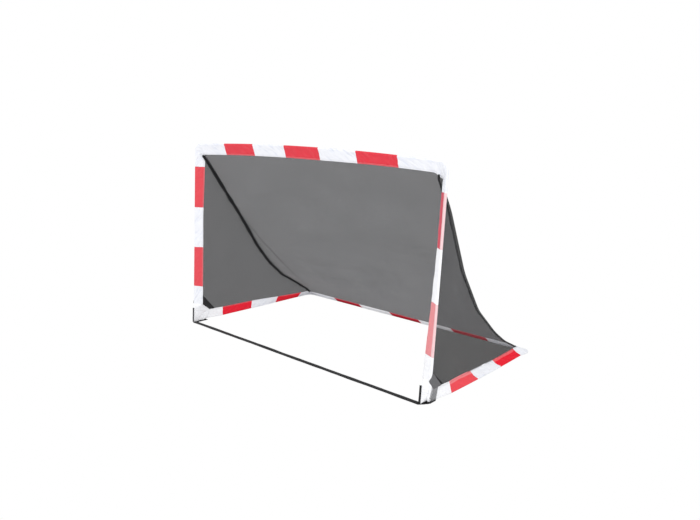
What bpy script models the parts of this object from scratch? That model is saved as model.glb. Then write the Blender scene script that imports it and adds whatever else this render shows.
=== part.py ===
"""A pop-up ball goal: two sprung rods in striped fabric sleeves, and a net in three panels.

The front hoop is a rod bent into an arch, and the ground hoop is a rod bent into a U that lies on the floor.
Both end in a fabric boot at each front corner, which is the hinge that the front hoop folds about.
X runs along the goal line, Y back into the goal and Z up. The origin is on the floor, under the middle of the
front strap. The sizes and the functions below take Y from the front of the posts' feet instead, and the base
empty moves the whole goal back from there.
"""
import math
from bisect import bisect_right

import bmesh
import bpy
from mathutils import Vector

# Front hoop
WIDTH = 1.600            # outside width of the arch
HEIGHT = 0.990           # floor to the arch's top at its corners, along the leaning arch
FRONT_LEAN = math.radians(1.28)
BAR_BOW = 0.0205         # the crossbar's rise at its middle
TOP_CORNER_R = 0.036     # of the rod's middle line
BAR_TILT = math.radians(17.0)        # the net pulls each sleeve's hem back

# Ground hoop
DEPTH = 0.927            # goal line to the back of the rear sleeve
REAR_CORNER_R = 0.045
REAR_LEAN = math.radians(61.0)       # of the rear sleeve, from upright
FOOT_HALF = 0.782        # rod's middle line under the boots, drawn in by the front strap
LEFT_HALF = 0.773        # middle of the goal to the rod's middle line at the rear, left side
RIGHT_HALF = 0.792       # and right side
LEFT_BOW = -0.004        # how far each side bows out between its ends
RIGHT_BOW = 0.008
# How far the ground sleeves lean in from upright, in degrees, at shares of the depth
SIDE_LEAN = {
    "left": ((0.10, 2.0), (0.18, 4.0), (0.42, 12.0), (0.66, 34.0), (0.90, 49.0)),
    "right": ((0.10, 8.0), (0.18, 14.0), (0.42, 55.0), (0.66, 64.0), (0.90, 57.0)),
}

# Rods, sleeves and their stripes
ROD_R = 0.003
ROD_CLEARANCE = 0.0005   # rod to the inside of its sleeve
SLEEVE_WALL = 0.0015
BAND_REACH = 0.055       # rod's middle line to the hem, front hoop
# A post's sleeve turns back further up, and the net gathers it. Shares of the height with degrees from the
# arch's plane, then with the share of the sleeve's reach.
POST_TILT = ((0.10, 16.0), (0.18, 20.0), (0.26, 23.5), (0.43, 29.5), (0.61, 35.0), (0.79, 38.0), (0.93, 40.0))
POST_REACH = ((0.10, 1.0), (0.18, 0.95), (0.26, 0.91), (0.43, 0.85), (0.61, 0.79), (0.79, 0.86), (0.93, 0.90))
GROUND_REACH = 0.047     # the same, ground hoop
HEM_THICKNESS = 0.002
HEM_DEPTH = 0.008        # where the two layers are sewn together
HEM_CORNER_R = 0.010
TOP_WHITE = 0.1235       # arch's top down to the first stripe on a post
FOOT_WHITE = 0.2026      # floor up to the last one
BAR_WHITE = 0.24675      # arch's side to the first stripe on the crossbar, and the same at the rear
FRONT_WHITE = 0.166      # goal line to the first stripe on a ground sleeve
REAR_WHITE = 0.0971      # last stripe on a ground sleeve to its rear end
STRIPES_UP = 3           # on each post, and on each side of the ground hoop
STRIPES_ACROSS = 5
GAP = 0.0004

# Boots and the hinge that they make
BOOT_TOP = 0.100
BOOT_DEPTH = 0.087
BOOT_WALL = 0.0014
BOOT_BEND_R = 0.024
HINGE_Z = 0.068
ROD_END_GAP = 0.0055     # hinge axis to the end of each rod's cap
CAP_WALL = 0.0008
CAP_LENGTH = 0.020
FIN_IN = 0.028           # the boot's front seam, inwards of the rod at its top
FIN_FOOT_IN = 0.015      # and at the floor
FIN_OUT = 0.027          # and in front of it
FIN_TOP = 0.084          # full height from here down
FIN_END = 0.040          # length over which it dies away along the floor

# Webbing
STRAP_THICKNESS = 0.0015
STRAP_WIDTH = 0.025
STRAP_FRONT = -0.033     # front edge of the front strap
STRAP_IN = 0.019         # rod's line under a boot to the front strap's end
CORNER_WEB = 0.038
CORNER_WEB_BACK = 0.060
CORNER_WEB_IN = 0.011    # rod's line to the middle of the corner strap
TAIL_WIDTH = 0.034
TAIL_Y = 0.014
TAIL_TOP = 0.066
TAIL_OUT = 0.013         # rod's line under a boot to the tail's foot
BINDING_WIDTH = 0.010
BINDING_THICKNESS = 0.0012
PATCH_THICKNESS = 0.0012

# Net
NET_THICKNESS = 0.0012
NET_SEAT = 0.0010        # hem to the net's edge
# A diagonal seam's bend from the straight line between its ends, all as shares of that line: the place along
# it, the sag there, and the pull inwards
SEAM_BEND = ((0.12, 0.0197, -0.0018), (0.26, 0.0474, 0.0070), (0.41, 0.0686, 0.0223), (0.62, 0.0881, 0.0225),
             (0.82, 0.0551, 0.0242), (0.93, 0.0280, 0.0185))
SEAM_START = 0.0040      # corner of the hem to the seam's end
SEAM_EASE = 0.028        # a net's edge leaves the hem this far before the corner
TAPE_WIDTH = 0.014
TAPE_THICKNESS = 0.0016
BACK_BELLY = 2.0         # 1 carries the seams' sag right across, more flattens the middle
NET_COLUMNS = 18
SIDE_COLUMNS = 17
NET_ROWS = 16

NOSE_R = ROD_R + ROD_CLEARANCE + SLEEVE_WALL
CAP_R = ROD_R + ROD_CLEARANCE + CAP_WALL
BOOT_BORE_R = CAP_R + 2 * GAP
BOOT_NOSE_R = BOOT_BORE_R + BOOT_WALL
FOOT_Z = STRAP_THICKNESS + GAP + BOOT_NOSE_R
ROD_HALF = WIDTH / 2 - NOSE_R
ROD_HEIGHT = HEIGHT - NOSE_R
REAR_Y = DEPTH - NOSE_R
BOOT_SIDE = max(ROD_HALF, FOOT_HALF) + BOOT_NOSE_R       # a boot's outer side
CORNER_WEB_MIDDLE = FOOT_HALF - CORNER_WEB_IN
STRIPE_END = WIDTH / 2 - BAR_WHITE
SIDE_HALF = {"left": LEFT_HALF, "right": RIGHT_HALF}
SIDE_BOW = {"left": LEFT_BOW, "right": RIGHT_BOW}
TWIST_STEPS = 4          # stations in each stripe of a post or ground sleeve, which twists along its length
CORNER_STEPS = 6
NOSE_STEPS = 6
SIDES = ("left", "right")

COLOURS = {
    "red_fabric": ((0.80, 0.075, 0.10, 1.0), 0.75, 0.0),
    "white_fabric": ((0.80, 0.80, 0.84, 1.0), 0.75, 0.0),
    "net_mesh": ((0.16, 0.16, 0.16, 1.0), 0.85, 0.0),
    "black_webbing": ((0.022, 0.022, 0.024, 1.0), 0.80, 0.0),
    "glass_rod": ((0.62, 0.60, 0.52, 1.0), 0.45, 0.0),
    "cap_plastic": ((0.03, 0.03, 0.03, 1.0), 0.50, 0.0),
}


def clear_scene():
    for thing in list(bpy.data.objects):
        bpy.data.objects.remove(thing, do_unlink=True)


def make_material(name):
    colour, roughness, metallic = COLOURS[name]
    material = bpy.data.materials.new(name)
    material.use_nodes = True
    shader = material.node_tree.nodes["Principled BSDF"]
    shader.inputs["Base Color"].default_value = colour
    shader.inputs["Roughness"].default_value = roughness
    shader.inputs["Metallic"].default_value = metallic
    material.diffuse_color = colour
    return material


def add_object(name, data, material, parent):
    """Adds a named sub-part, whose points are in the goal's own coordinates, under one of the two empties."""
    thing = bpy.data.objects.new(name, data)
    goal.objects.link(thing)
    data.materials.append(materials[material])
    thing.parent = parent
    if parent is arch_frame:
        thing.matrix_parent_inverse = parent.matrix_basis.inverted()
    return thing


def mesh_from(name, points, faces):
    """A mesh of the given points and faces, all facing out."""
    mesh = bpy.data.meshes.new(name)
    mesh.from_pydata([tuple(p) for p in points], [], faces)
    work = bmesh.new()
    work.from_mesh(mesh)
    bmesh.ops.recalc_face_normals(work, faces=work.faces)
    work.to_mesh(mesh)
    work.free()
    mesh.shade_smooth()
    mesh.set_sharp_from_angle(angle=math.radians(35.0))
    return mesh


def mirrored(point, side):
    return Vector((-point.x, point.y, point.z)) if side == "left" else point


def blend(table, share):
    """Straight interpolation in a table of (share, value)."""
    if share <= table[0][0]:
        return table[0][1]
    for (low, a), (high, b) in zip(table, table[1:]):
        if share <= high:
            return a + (b - a) * (share - low) / (high - low)
    return table[-1][1]


class Border:
    """A rod's middle line and the hem beside it, in straight runs between stations of (rod, hem, is_cut)."""

    def __init__(self, stations):
        self.rod = [s[0] for s in stations]
        self.hem = [s[1] for s in stations]
        self.run = [0.0]
        for a, b in zip(self.rod, self.rod[1:]):
            self.run.append(self.run[-1] + (b - a).length)
        self.cuts = [run for run, s in zip(self.run, stations) if s[2]]

    def at(self, distance):
        i = min(max(bisect_right(self.run, distance) - 1, 0), len(self.run) - 2)
        share = (distance - self.run[i]) / (self.run[i + 1] - self.run[i])
        return self.rod[i].lerp(self.rod[i + 1], share), self.hem[i].lerp(self.hem[i + 1], share)

    def along(self, distance):
        step = 0.0005
        return (self.at(distance + step)[0] - self.at(distance - step)[0]).normalized()

    def between(self, start, end):
        """The distances of a piece's stations: its two ends, and what lies between them."""
        return [start] + [d for d in self.run if start + 0.001 < d < end - 0.001] + [end]

    def spread(self, start, end, count):
        """About even distances that take in every station, so that straight edges match."""
        ends = self.between(start, end)
        lengths = [b - a for a, b in zip(ends, ends[1:])]
        parts = [1] * len(lengths)
        for _ in range(count - len(lengths)):
            longest = max(range(len(lengths)), key=lambda i: lengths[i] / parts[i])
            parts[longest] += 1
        marks = [start]
        for a, length, n in zip(ends, lengths, parts):
            marks += [a + length * i / n for i in range(1, n + 1)]
        return marks

    def net_edge(self, distance):
        rod, hem = self.at(distance)
        return hem + (hem - rod).normalized() * NET_SEAT


def arch_point(x, up, back=0.0):
    """A point of the leaning front plane, at a height along it."""
    return Vector((x, up * math.sin(FRONT_LEAN) + back, up * math.cos(FRONT_LEAN)))


def marks_between(first, last, count):
    """Even marks that part a length into the given count."""
    return [first + (last - first) * i / count for i in range(count + 1)]


def front_half():
    """Stations from the boot's top up the right post and along the crossbar to its middle."""
    top_tilt = math.radians(POST_TILT[-1][1])
    top_reach = BAND_REACH * POST_REACH[-1][1]
    hem_x = ROD_HALF - top_reach * math.cos(top_tilt)
    hem_up = ROD_HEIGHT - BAND_REACH * math.cos(BAR_TILT)
    arc_x = ROD_HALF - TOP_CORNER_R
    turn_up = hem_up - HEM_CORNER_R - HEM_DEPTH
    turn_x = hem_x - HEM_CORNER_R - HEM_DEPTH

    def post(up, cut):
        tilt = math.radians(blend(POST_TILT, up / HEIGHT))
        reach = BAND_REACH * blend(POST_REACH, up / HEIGHT)
        rod = arch_point(ROD_HALF, up)
        return rod, rod + Vector((-math.cos(tilt), math.sin(tilt), 0.0)) * reach, cut

    def bar(x, cut):
        up = ROD_HEIGHT + BAR_BOW * (1.0 - (x / arc_x) ** 2)
        hem = arch_point(x, up - BAND_REACH * math.cos(BAR_TILT), BAND_REACH * math.sin(BAR_TILT))
        return arch_point(x, up), hem, cut

    stations = [post(BOOT_TOP, True)]
    for i, up in enumerate(marks_between(FOOT_WHITE, HEIGHT - TOP_WHITE, STRIPES_UP * TWIST_STEPS)):
        stations.append(post(up, i % TWIST_STEPS == 0))
    stations.append(post(turn_up, False))
    for step in range(CORNER_STEPS + 1):
        turn = math.pi / 2 * step / CORNER_STEPS
        share = step / CORNER_STEPS
        rod = arch_point(arc_x + TOP_CORNER_R * math.cos(turn),
                         ROD_HEIGHT - TOP_CORNER_R * (1.0 - math.sin(turn)))
        back = top_reach * math.sin(top_tilt) * (1.0 - share) + BAND_REACH * math.sin(BAR_TILT) * share
        hem = arch_point(hem_x - HEM_CORNER_R * (1.0 - math.cos(turn)),
                         hem_up - HEM_CORNER_R * (1.0 - math.sin(turn)), back)
        stations.append((rod, hem, False))
    stations.append(bar(turn_x, False))
    xs = marks_between(STRIPE_END, -STRIPE_END, STRIPES_ACROSS)
    stations += [bar(x, True) for x in xs if x > 0.0]
    return stations


def side_x(side, y):
    """The ground rod's place at a depth: it starts under the boot and widens to the side's own width."""
    share = min(y / FRONT_WHITE, 1.0)
    ease = share * share * (3.0 - 2.0 * share)
    half = FOOT_HALF + (SIDE_HALF[side] - FOOT_HALF) * ease
    return half + SIDE_BOW[side] * math.sin(math.pi * y / DEPTH)


def ground_half(side):
    """Stations from a boot's back along the floor to the middle of the rear sleeve, on the +X side."""
    corner_x = side_x(side, REAR_Y - REAR_CORNER_R)
    lean = math.radians(blend(SIDE_LEAN[side], 1.0))
    hem_x = corner_x - GROUND_REACH * math.sin(lean)
    hem_y = REAR_Y - GROUND_REACH * math.sin(REAR_LEAN)
    turn_y = hem_y - HEM_CORNER_R - HEM_DEPTH
    turn_x = hem_x - HEM_CORNER_R - HEM_DEPTH

    def along_side(y, cut):
        lift = (FOOT_Z - NOSE_R) * max(0.0, 1.0 - (y - BOOT_DEPTH) / (FRONT_WHITE - BOOT_DEPTH))
        rod = Vector((side_x(side, y), y, NOSE_R + lift))
        tilt = math.radians(blend(SIDE_LEAN[side], y / DEPTH))
        return rod, rod + Vector((-math.sin(tilt), 0.0, math.cos(tilt))) * GROUND_REACH, cut

    def along_rear(x, cut):
        rod = Vector((x, REAR_Y, NOSE_R))
        return rod, rod + Vector((0.0, -math.sin(REAR_LEAN), math.cos(REAR_LEAN))) * GROUND_REACH, cut

    stations = [along_side(BOOT_DEPTH, True)]
    for i, y in enumerate(marks_between(FRONT_WHITE, DEPTH - REAR_WHITE, STRIPES_UP * TWIST_STEPS)):
        stations.append(along_side(y, i % TWIST_STEPS == 0))
    stations.append(along_side(turn_y, False))
    for step in range(CORNER_STEPS + 1):
        turn = math.pi / 2 * step / CORNER_STEPS
        share = step / CORNER_STEPS
        rod = Vector((corner_x - REAR_CORNER_R * (1.0 - math.cos(turn)),
                      REAR_Y - REAR_CORNER_R * (1.0 - math.sin(turn)), NOSE_R))
        rise = GROUND_REACH * (math.cos(lean) * (1.0 - share) + math.cos(REAR_LEAN) * share)
        hem = Vector((hem_x - HEM_CORNER_R * (1.0 - math.cos(turn)),
                      hem_y - HEM_CORNER_R * (1.0 - math.sin(turn)), NOSE_R + rise))
        stations.append((rod, hem, False))
    stations.append(along_rear(turn_x, False))
    xs = marks_between(STRIPE_END, -STRIPE_END, STRIPES_ACROSS)
    stations += [along_rear(x, True) for x in xs if x > 0.0]
    return stations


def whole_border(left, right):
    """Joins two halves that run from a foot to the middle, the left one mirrored."""
    start = [(mirrored(rod, "left"), mirrored(hem, "left"), cut) for rod, hem, cut in left]
    return Border(start + right[::-1])


def sleeve_ring(rod, hem, along, radius, edge, thickness, fin=None):
    """One closed ring of a sleeve: round the rod, then by two flat sides to the hem's edge.

    A fin is (point, growth): the front seam that stands off a boot's side, from 0 flat to 1 at the point.
    """
    reach = hem - rod
    out = (reach - along * reach.dot(along)).normalized()
    face = along.cross(out).normalized()
    ring = []
    for step in range(NOSE_STEPS + 1):
        turn = math.pi / 2 + math.pi * step / NOSE_STEPS
        ring.append(rod + (out * math.cos(turn) + face * math.sin(turn)) * radius)
    end = hem - reach.normalized() * edge
    low = end - face * thickness / 2
    if fin is not None:
        point, growth = fin
        front = ring[-1]
        across = (low - front).normalized() * HEM_THICKNESS / 2
        ring += [front.lerp(low, 0.40).lerp(point - across, growth),
                 front.lerp(low, 0.50).lerp(point + across, growth)]
    ring += [low, end + face * thickness / 2]
    return ring


def loft_tube(name, outers, inners):
    """A closed tube wall between two rows of rings, open at both ends of its bore.

    Where a sleeve twists, its sides aren't flat. They are split along the same diagonals outside and inside,
    and on both sides of the sleeve, so that the wall keeps its thickness.
    """
    size = len(outers[0])
    points = [p for ring in outers + inners for p in ring]
    inner_start = len(outers) * size
    faces = []
    for i in range(len(outers) - 1):
        for k in range(size):
            n = (k + 1) % size
            if n == 0:
                k, n = n, k
            for start in (0, inner_start):
                a, b = start + i * size, start + (i + 1) * size
                faces.append((a + k, a + n, b + n))
                faces.append((a + k, b + n, b + k))
    for i in (0, len(outers) - 1):
        for k in range(size):
            n = (k + 1) % size
            a, b = i * size, inner_start + i * size
            faces.append((a + k, a + n, b + n, b + k))
    return mesh_from(name, points, faces)


def band_mesh(name, border, start, end):
    """A length of striped sleeve, with the rod's channel left open through it."""
    outers, inners = [], []
    for distance in border.between(start + GAP / 2, end - GAP / 2):
        rod, hem = border.at(distance)
        along = border.along(distance)
        outers.append(sleeve_ring(rod, hem, along, NOSE_R, 0.0, HEM_THICKNESS))
        inners.append(sleeve_ring(rod, hem, along, ROD_R + ROD_CLEARANCE, HEM_DEPTH, HEM_THICKNESS / 3))
    return loft_tube(name, outers, inners)


def band_names(side, corner, middle):
    """Names and colours in order along a border: each is (name, material), the corners white.

    The bands count away from the corners, and each count starts with a red one.
    """
    colours = ("white_fabric", "red_fabric")
    named = [(f"left_{side}_{k}", colours[k % 2]) for k in range(STRIPES_UP + 1, 0, -1)]
    named.append((f"left_{corner}", "white_fabric"))
    named += [(f"{middle}_{k}", colours[k % 2]) for k in range(1, STRIPES_ACROSS + 1)]
    named.append((f"right_{corner}", "white_fabric"))
    return named + [(f"right_{side}_{k}", colours[k % 2]) for k in range(1, STRIPES_UP + 2)]


def add_bands(border, labels, parent):
    for (name, material), start, end in zip(band_names(*labels), border.cuts, border.cuts[1:]):
        add_object(name, band_mesh(name, border, start, end), material, parent)


def boot_line(side):
    """Stations down the foot of a post, round the bend and back along the floor, on the +X side.

    Each is (rod, hem, fin). The hem is the boot's slanting edge, straight from sleeve to sleeve.
    """
    top_rod, top_hem, _ = front_half()[0]
    end_rod, end_hem, _ = ground_half(side)[0]
    path = []
    for up in (top_rod.z, (top_rod.z + FIN_TOP) / 2, FIN_TOP, HINGE_Z, FOOT_Z + BOOT_BEND_R):
        path.append((Vector((0.0, up * math.tan(FRONT_LEAN), up)), 0.0))
    for step in range(1, CORNER_STEPS + 1):
        turn = math.pi / 2 * step / CORNER_STEPS
        path.append((Vector((0.0, BOOT_BEND_R * (1.0 - math.cos(turn)),
                             FOOT_Z + BOOT_BEND_R * (1.0 - math.sin(turn)))), turn))
    for y in ((BOOT_BEND_R + BOOT_DEPTH) / 2, BOOT_DEPTH - HEM_DEPTH, BOOT_DEPTH):
        path.append((Vector((0.0, y, FOOT_Z)), math.pi / 2))
    runs = [0.0]
    for (a, _), (b, _) in zip(path, path[1:]):
        runs.append(runs[-1] + (b - a).length)
    drawn_from, drawn_to = runs[3], runs[4 + CORNER_STEPS]
    floor = STRAP_THICKNESS + GAP + HEM_THICKNESS / 2
    stations = []
    for (point, turn), run in zip(path, runs):
        share = run / runs[-1]
        foot = min(max((run - drawn_from) / (drawn_to - drawn_from), 0.0), 1.0)
        tail = max((run - drawn_to) / (runs[-1] - drawn_to), 0.0)
        x = ROD_HALF + (FOOT_HALF - ROD_HALF) * foot + (end_rod.x - FOOT_HALF) * tail
        rod = Vector((x, point.y, point.z))
        hem = top_hem.lerp(end_hem, share)
        inwards = FIN_IN + (FIN_FOOT_IN - FIN_IN) * foot
        fin = rod - Vector((inwards, 0.0, 0.0)) + fin_reach(turn, floor)
        from_top = (BOOT_TOP - point.z) / (BOOT_TOP - FIN_TOP)
        from_end = (BOOT_DEPTH - HEM_DEPTH - point.y) / FIN_END
        stations.append((rod, hem, (fin, min(max(min(from_top, from_end), 0.0), 1.0))))
    return stations


def fin_reach(turn, floor):
    """From the rod's line to the front seam, which runs straight down to the floor and then back along it."""
    to_front = (BOOT_BEND_R + FIN_OUT) / max(math.cos(turn), 0.001)
    to_floor = (BOOT_BEND_R + FOOT_Z - floor) / max(math.sin(turn), 0.001)
    return Vector((0.0, -math.cos(turn), -math.sin(turn))) * (min(to_front, to_floor) - BOOT_BEND_R)


def add_boot(side, base):
    stations = boot_line(side)
    outers, inners = [], []
    for i, (rod, hem, fin) in enumerate(stations):
        before = stations[max(i - 1, 0)][0]
        after = stations[min(i + 1, len(stations) - 1)][0]
        along = (after - before).normalized()
        if i in (0, len(stations) - 1):
            back_off = along * (GAP if i == 0 else -GAP)
            rod, hem = rod + back_off, hem + back_off
        outer = sleeve_ring(rod, hem, along, BOOT_NOSE_R, 0.0, HEM_THICKNESS, fin)
        inner = sleeve_ring(rod, hem, along, BOOT_BORE_R, HEM_DEPTH, HEM_THICKNESS / 3, (hem, 0.0))
        outers.append([mirrored(p, side) for p in outer])
        inners.append([mirrored(p, side) for p in inner])
    add_object(f"{side}_boot", loft_tube(f"{side}_boot", outers, inners), "white_fabric", base)


def add_rod(name, points, parent):
    """A round rod along straight runs between points, as a curve with filled ends."""
    curve = bpy.data.curves.new(name, "CURVE")
    curve.dimensions = "3D"
    curve.bevel_depth = ROD_R
    curve.bevel_resolution = 2
    curve.use_fill_caps = True
    spline = curve.splines.new("POLY")
    spline.points.add(len(points) - 1)
    for spot, point in zip(spline.points, points):
        spot.co = (*point, 1.0)
    return add_object(name, curve, "glass_rod", parent)


def rod_foot(side):
    """Where the two rods end at a boot, above and below the hinge axis, on the +X side."""
    high = HINGE_Z + ROD_END_GAP + CAP_WALL
    low = HINGE_Z - ROD_END_GAP - CAP_WALL
    upper = Vector((ROD_HALF, high * math.tan(FRONT_LEAN), high))
    lower = Vector((boot_x_at(side, low), low * math.tan(FRONT_LEAN), low))
    return mirrored(upper, side), mirrored(lower, side)


def boot_x_at(side, z):
    """The rod line's place inside a boot, at a height on its upright part."""
    rods = [station[0] for station in boot_line(side)]
    for a, b in zip(rods, rods[1:]):
        if a.z >= z >= b.z:
            return a.lerp(b, (a.z - z) / (a.z - b.z)).x
    return rods[-1].x


def add_rods(front, ground, arch, base):
    uppers, lowers = {}, {}
    for side in SIDES:
        uppers[side], lowers[side] = rod_foot(side)
    add_rod("front_rod", [uppers["left"]] + front.rod + [uppers["right"]], arch)
    path = []
    for side in SIDES:
        rods = [mirrored(rod, side) for rod, _, _ in boot_line(side) if rod.z < abs(lowers[side].z) - 0.001]
        run = [lowers[side]] + rods[:-1]
        path.append(run)
    add_rod("ground_rod", path[0] + ground.rod + path[1][::-1], base)
    for side in SIDES:
        add_cap(f"{side}_post_cap", uppers[side], arch_point(0.0, 1.0), arch)
        next_rod = path[SIDES.index(side)][1]
        add_cap(f"{side}_ground_cap", lowers[side], (next_rod - lowers[side]).normalized(), base)


def add_cap(name, end, along, parent):
    """A thimble over a rod's end, turned from its half section."""
    inner = ROD_R + ROD_CLEARANCE
    profile = [(0.0, -CAP_WALL), (CAP_R, -CAP_WALL), (CAP_R, CAP_LENGTH), (inner, CAP_LENGTH),
               (inner, -GAP), (0.0, -GAP)]
    work = bmesh.new()
    verts = [work.verts.new((r, 0.0, z)) for r, z in profile]
    edges = [work.edges.new(pair) for pair in zip(verts, verts[1:])]
    bmesh.ops.spin(work, geom=verts + edges, cent=(0, 0, 0), axis=(0, 0, 1), angle=2 * math.pi, steps=12,
                   use_merge=True)
    bmesh.ops.remove_doubles(work, verts=work.verts, dist=0.00001)
    bmesh.ops.recalc_face_normals(work, faces=work.faces)
    mesh = bpy.data.meshes.new(name)
    work.to_mesh(mesh)
    work.free()
    mesh.shade_smooth()
    mesh.set_sharp_from_angle(angle=math.radians(35.0))
    thing = add_object(name, mesh, "cap_plastic", parent)
    thing.location = end
    thing.rotation_mode = "QUATERNION"
    thing.rotation_quaternion = Vector((0.0, 0.0, 1.0)).rotation_difference(along)


def sheet(rows, name, thickness, material, parent):
    """A thin closed sheet on a grid of points, given thickness evenly about it."""
    width = len(rows[0])
    points = [p for row in rows for p in row]
    faces = []
    for i in range(len(rows) - 1):
        for k in range(width - 1):
            a = i * width + k
            faces.append((a, a + 1, a + width + 1, a + width))
    mesh = mesh_from(name, points, faces)
    thing = add_object(name, mesh, material, parent)
    solid = thing.modifiers.new("thickness", "SOLIDIFY")
    solid.thickness = thickness
    solid.offset = 0.0
    return thing


def skin(starts, ends, lows, highs, belly=1.0):
    """Rows of points that fill four edges. starts and ends run down the sides, lows and highs across.

    Rows run from lows to highs, and each row from starts to ends.
    """
    rows = []
    last_row, last_column = len(starts) - 1, len(lows) - 1
    for i in range(last_row + 1):
        v = i / last_row
        row = []
        for k in range(last_column + 1):
            u = k / last_column
            point = lows[k].lerp(highs[k], v)
            start_bend = starts[i] - starts[0].lerp(starts[-1], v)
            end_bend = ends[i] - ends[0].lerp(ends[-1], v)
            row.append(point + start_bend * (1.0 - u) ** belly + end_bend * u ** belly)
        rows.append(row)
    return rows


def corner_station(border, side, which):
    """The station at the middle of a corner, which is the one farthest out by the given measure."""
    half = len(border.run) // 2
    order = range(half) if side == "left" else range(len(border.run) - 1, half, -1)
    return max(order, key=lambda i: which(border.rod[i]))


def past_corner(border, side, which, step):
    """The distance along a border where a net's edge leaves the hem, beside a corner, on the side of step."""
    turn = corner_station(border, side, which) + step * (CORNER_STEPS // 2 + 1)
    return border.run[turn] + step * SEAM_EASE


def seam_line(side, front, ground):
    """A diagonal seam from the arch's corner to the rear corner, and the two ways that the nets leave it."""
    top = corner_station(front, side, top_corner)
    foot = corner_station(ground, side, rear_corner)
    top_rod, top_hem = front.rod[top], front.hem[top]
    foot_rod, foot_hem = ground.rod[foot], ground.hem[foot]
    top = top_hem + (top_hem - top_rod).normalized() * SEAM_START
    foot = foot_hem + (foot_hem - foot_rod).normalized() * SEAM_START
    chord = foot - top
    inward = Vector((-1.0 if side == "right" else 1.0, 0.0, 0.0))
    down = Vector((0.0, chord.z, -chord.y)).normalized()
    sags = [(0.0, 0.0)] + [(share, sag) for share, sag, _ in SEAM_BEND] + [(1.0, 0.0)]
    draws = [(0.0, 0.0)] + [(share, draw) for share, _, draw in SEAM_BEND] + [(1.0, 0.0)]
    points = []
    for i in range(NET_ROWS + 1):
        share = i / NET_ROWS
        bend = down * blend(sags, share) + inward * blend(draws, share)
        points.append(top.lerp(foot, share) + bend * chord.length)
    return points, squared_to_seam(inward, points), squared_to_seam(down, points)


def beside_tape(points, directions, fins):
    """A seam moved along a net, until the net's edge clears the tape that stands on the seam."""
    moved = []
    for point, direction, fin in zip(points, directions, fins):
        angle = direction.angle(fin)
        distance = (TAPE_THICKNESS / 2 + GAP + NET_THICKNESS / 2 * math.cos(angle)) / math.sin(angle)
        moved.append(point + direction * distance)
    return moved


def squared_to_seam(direction, points):
    """A direction at each point of a seam, without its part that runs along the seam."""
    square = []
    for i in range(len(points)):
        along = (points[min(i + 1, len(points) - 1)] - points[max(i - 1, 0)]).normalized()
        square.append((direction - along * direction.dot(along)).normalized())
    return square


def side_edge(border, side, which, reach):
    """Points of a side net's edge, from the corner patch to where the edge leaves the hem before a corner."""
    step = -1 if side == "left" else 1
    ends = [patch_run(border, side, reach), past_corner(border, side, which, step)]
    marks = border.spread(min(ends), max(ends), SIDE_COLUMNS - 1)
    if side == "right":
        marks.reverse()
    return [border.net_edge(d) for d in marks]


def side_net_rows(side, front, ground, seam):
    """A side panel: rows from the post's hem to the floor's, each from the corner patch to the seam."""
    highs = side_edge(front, side, top_corner, PATCH_UP) + [seam[0]]
    lows = side_edge(ground, side, rear_corner, PATCH_BACK) + [seam[-1]]
    starts = [highs[0].lerp(lows[0], i / NET_ROWS) for i in range(NET_ROWS + 1)]
    return skin(starts, seam, highs, lows)


def back_net_rows(front, ground, left, right):
    """The back panel: rows from the crossbar's hem down to the rear hem, each from seam to seam."""
    rows = []
    for border, which in ((front, top_corner), (ground, rear_corner)):
        start = past_corner(border, "left", which, 1)
        end = past_corner(border, "right", which, -1)
        rows.append([border.net_edge(d) for d in border.spread(start, end, NET_COLUMNS - 2)])
    return skin(left, right, [left[0]] + rows[0] + [right[0]], [left[-1]] + rows[1] + [right[-1]], BACK_BELLY)


def top_corner(point):
    return abs(point.x) + point.z


def rear_corner(point):
    return abs(point.x) + point.y


def add_net(front, ground, base):
    """The three net panels, and the tape that binds them together along each diagonal seam."""
    moved = {}
    for side in SIDES:
        seam, to_back, to_side = seam_line(side, front, ground)
        fins = [(a + b).normalized() for a, b in zip(to_back, to_side)]
        rows = side_net_rows(side, front, ground, beside_tape(seam, to_side, fins))
        sheet(rows, f"{side}_side_net", NET_THICKNESS, "net_mesh", base)
        tape = [[point, point + fin * TAPE_WIDTH] for point, fin in zip(seam, fins)]
        sheet(tape, f"{side}_seam_tape", TAPE_THICKNESS, "black_webbing", base)
        moved[side] = beside_tape(seam, to_back, fins)
    sheet(back_net_rows(front, ground, moved["left"], moved["right"]), "back_net", NET_THICKNESS,
          "net_mesh", base)


PATCH_UP = BOOT_TOP + CORNER_WEB * math.sqrt(2.0)
PATCH_BACK = BOOT_DEPTH + CORNER_WEB


def patch_run(border, side, reach):
    """The distance along a border of a place this far up a post or back along the floor."""
    start = BOOT_TOP if border is borders["front"] else BOOT_DEPTH
    distance = reach - start
    return distance if side == "left" else border.run[-1] - distance


def add_patch(side, front, ground, base):
    """Webbing across the net's lower front corner, between the boot and the net, on both faces."""
    rows = []
    steps = 4
    for border, start, reach in ((front, BOOT_TOP, PATCH_UP), (ground, BOOT_DEPTH, PATCH_BACK)):
        length = reach - start
        clear = NET_SEAT * math.sqrt(2.0)
        places = [clear + (length - 2 * clear) * i / steps for i in range(steps + 1)]
        if side == "right":
            places = [border.run[-1] - d for d in places]
        rows.append([border.net_edge(d) for d in places])
    strips = []
    for i in range(steps + 1):
        strips.append([rows[0][i].lerp(rows[1][i], k / steps) for k in range(steps + 1)])
    sheet(strips, f"{side}_corner_patch", PATCH_THICKNESS, "black_webbing", base)


def box(name, low, high, material, parent):
    work = bmesh.new()
    bmesh.ops.create_cube(work, size=1.0)
    size = Vector(high) - Vector(low)
    for vert in work.verts:
        vert.co = Vector(low) + Vector([(c + 0.5) * s for c, s in zip(vert.co, size)])
    mesh = bpy.data.meshes.new(name)
    work.to_mesh(mesh)
    work.free()
    return add_object(name, mesh, material, parent)


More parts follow.
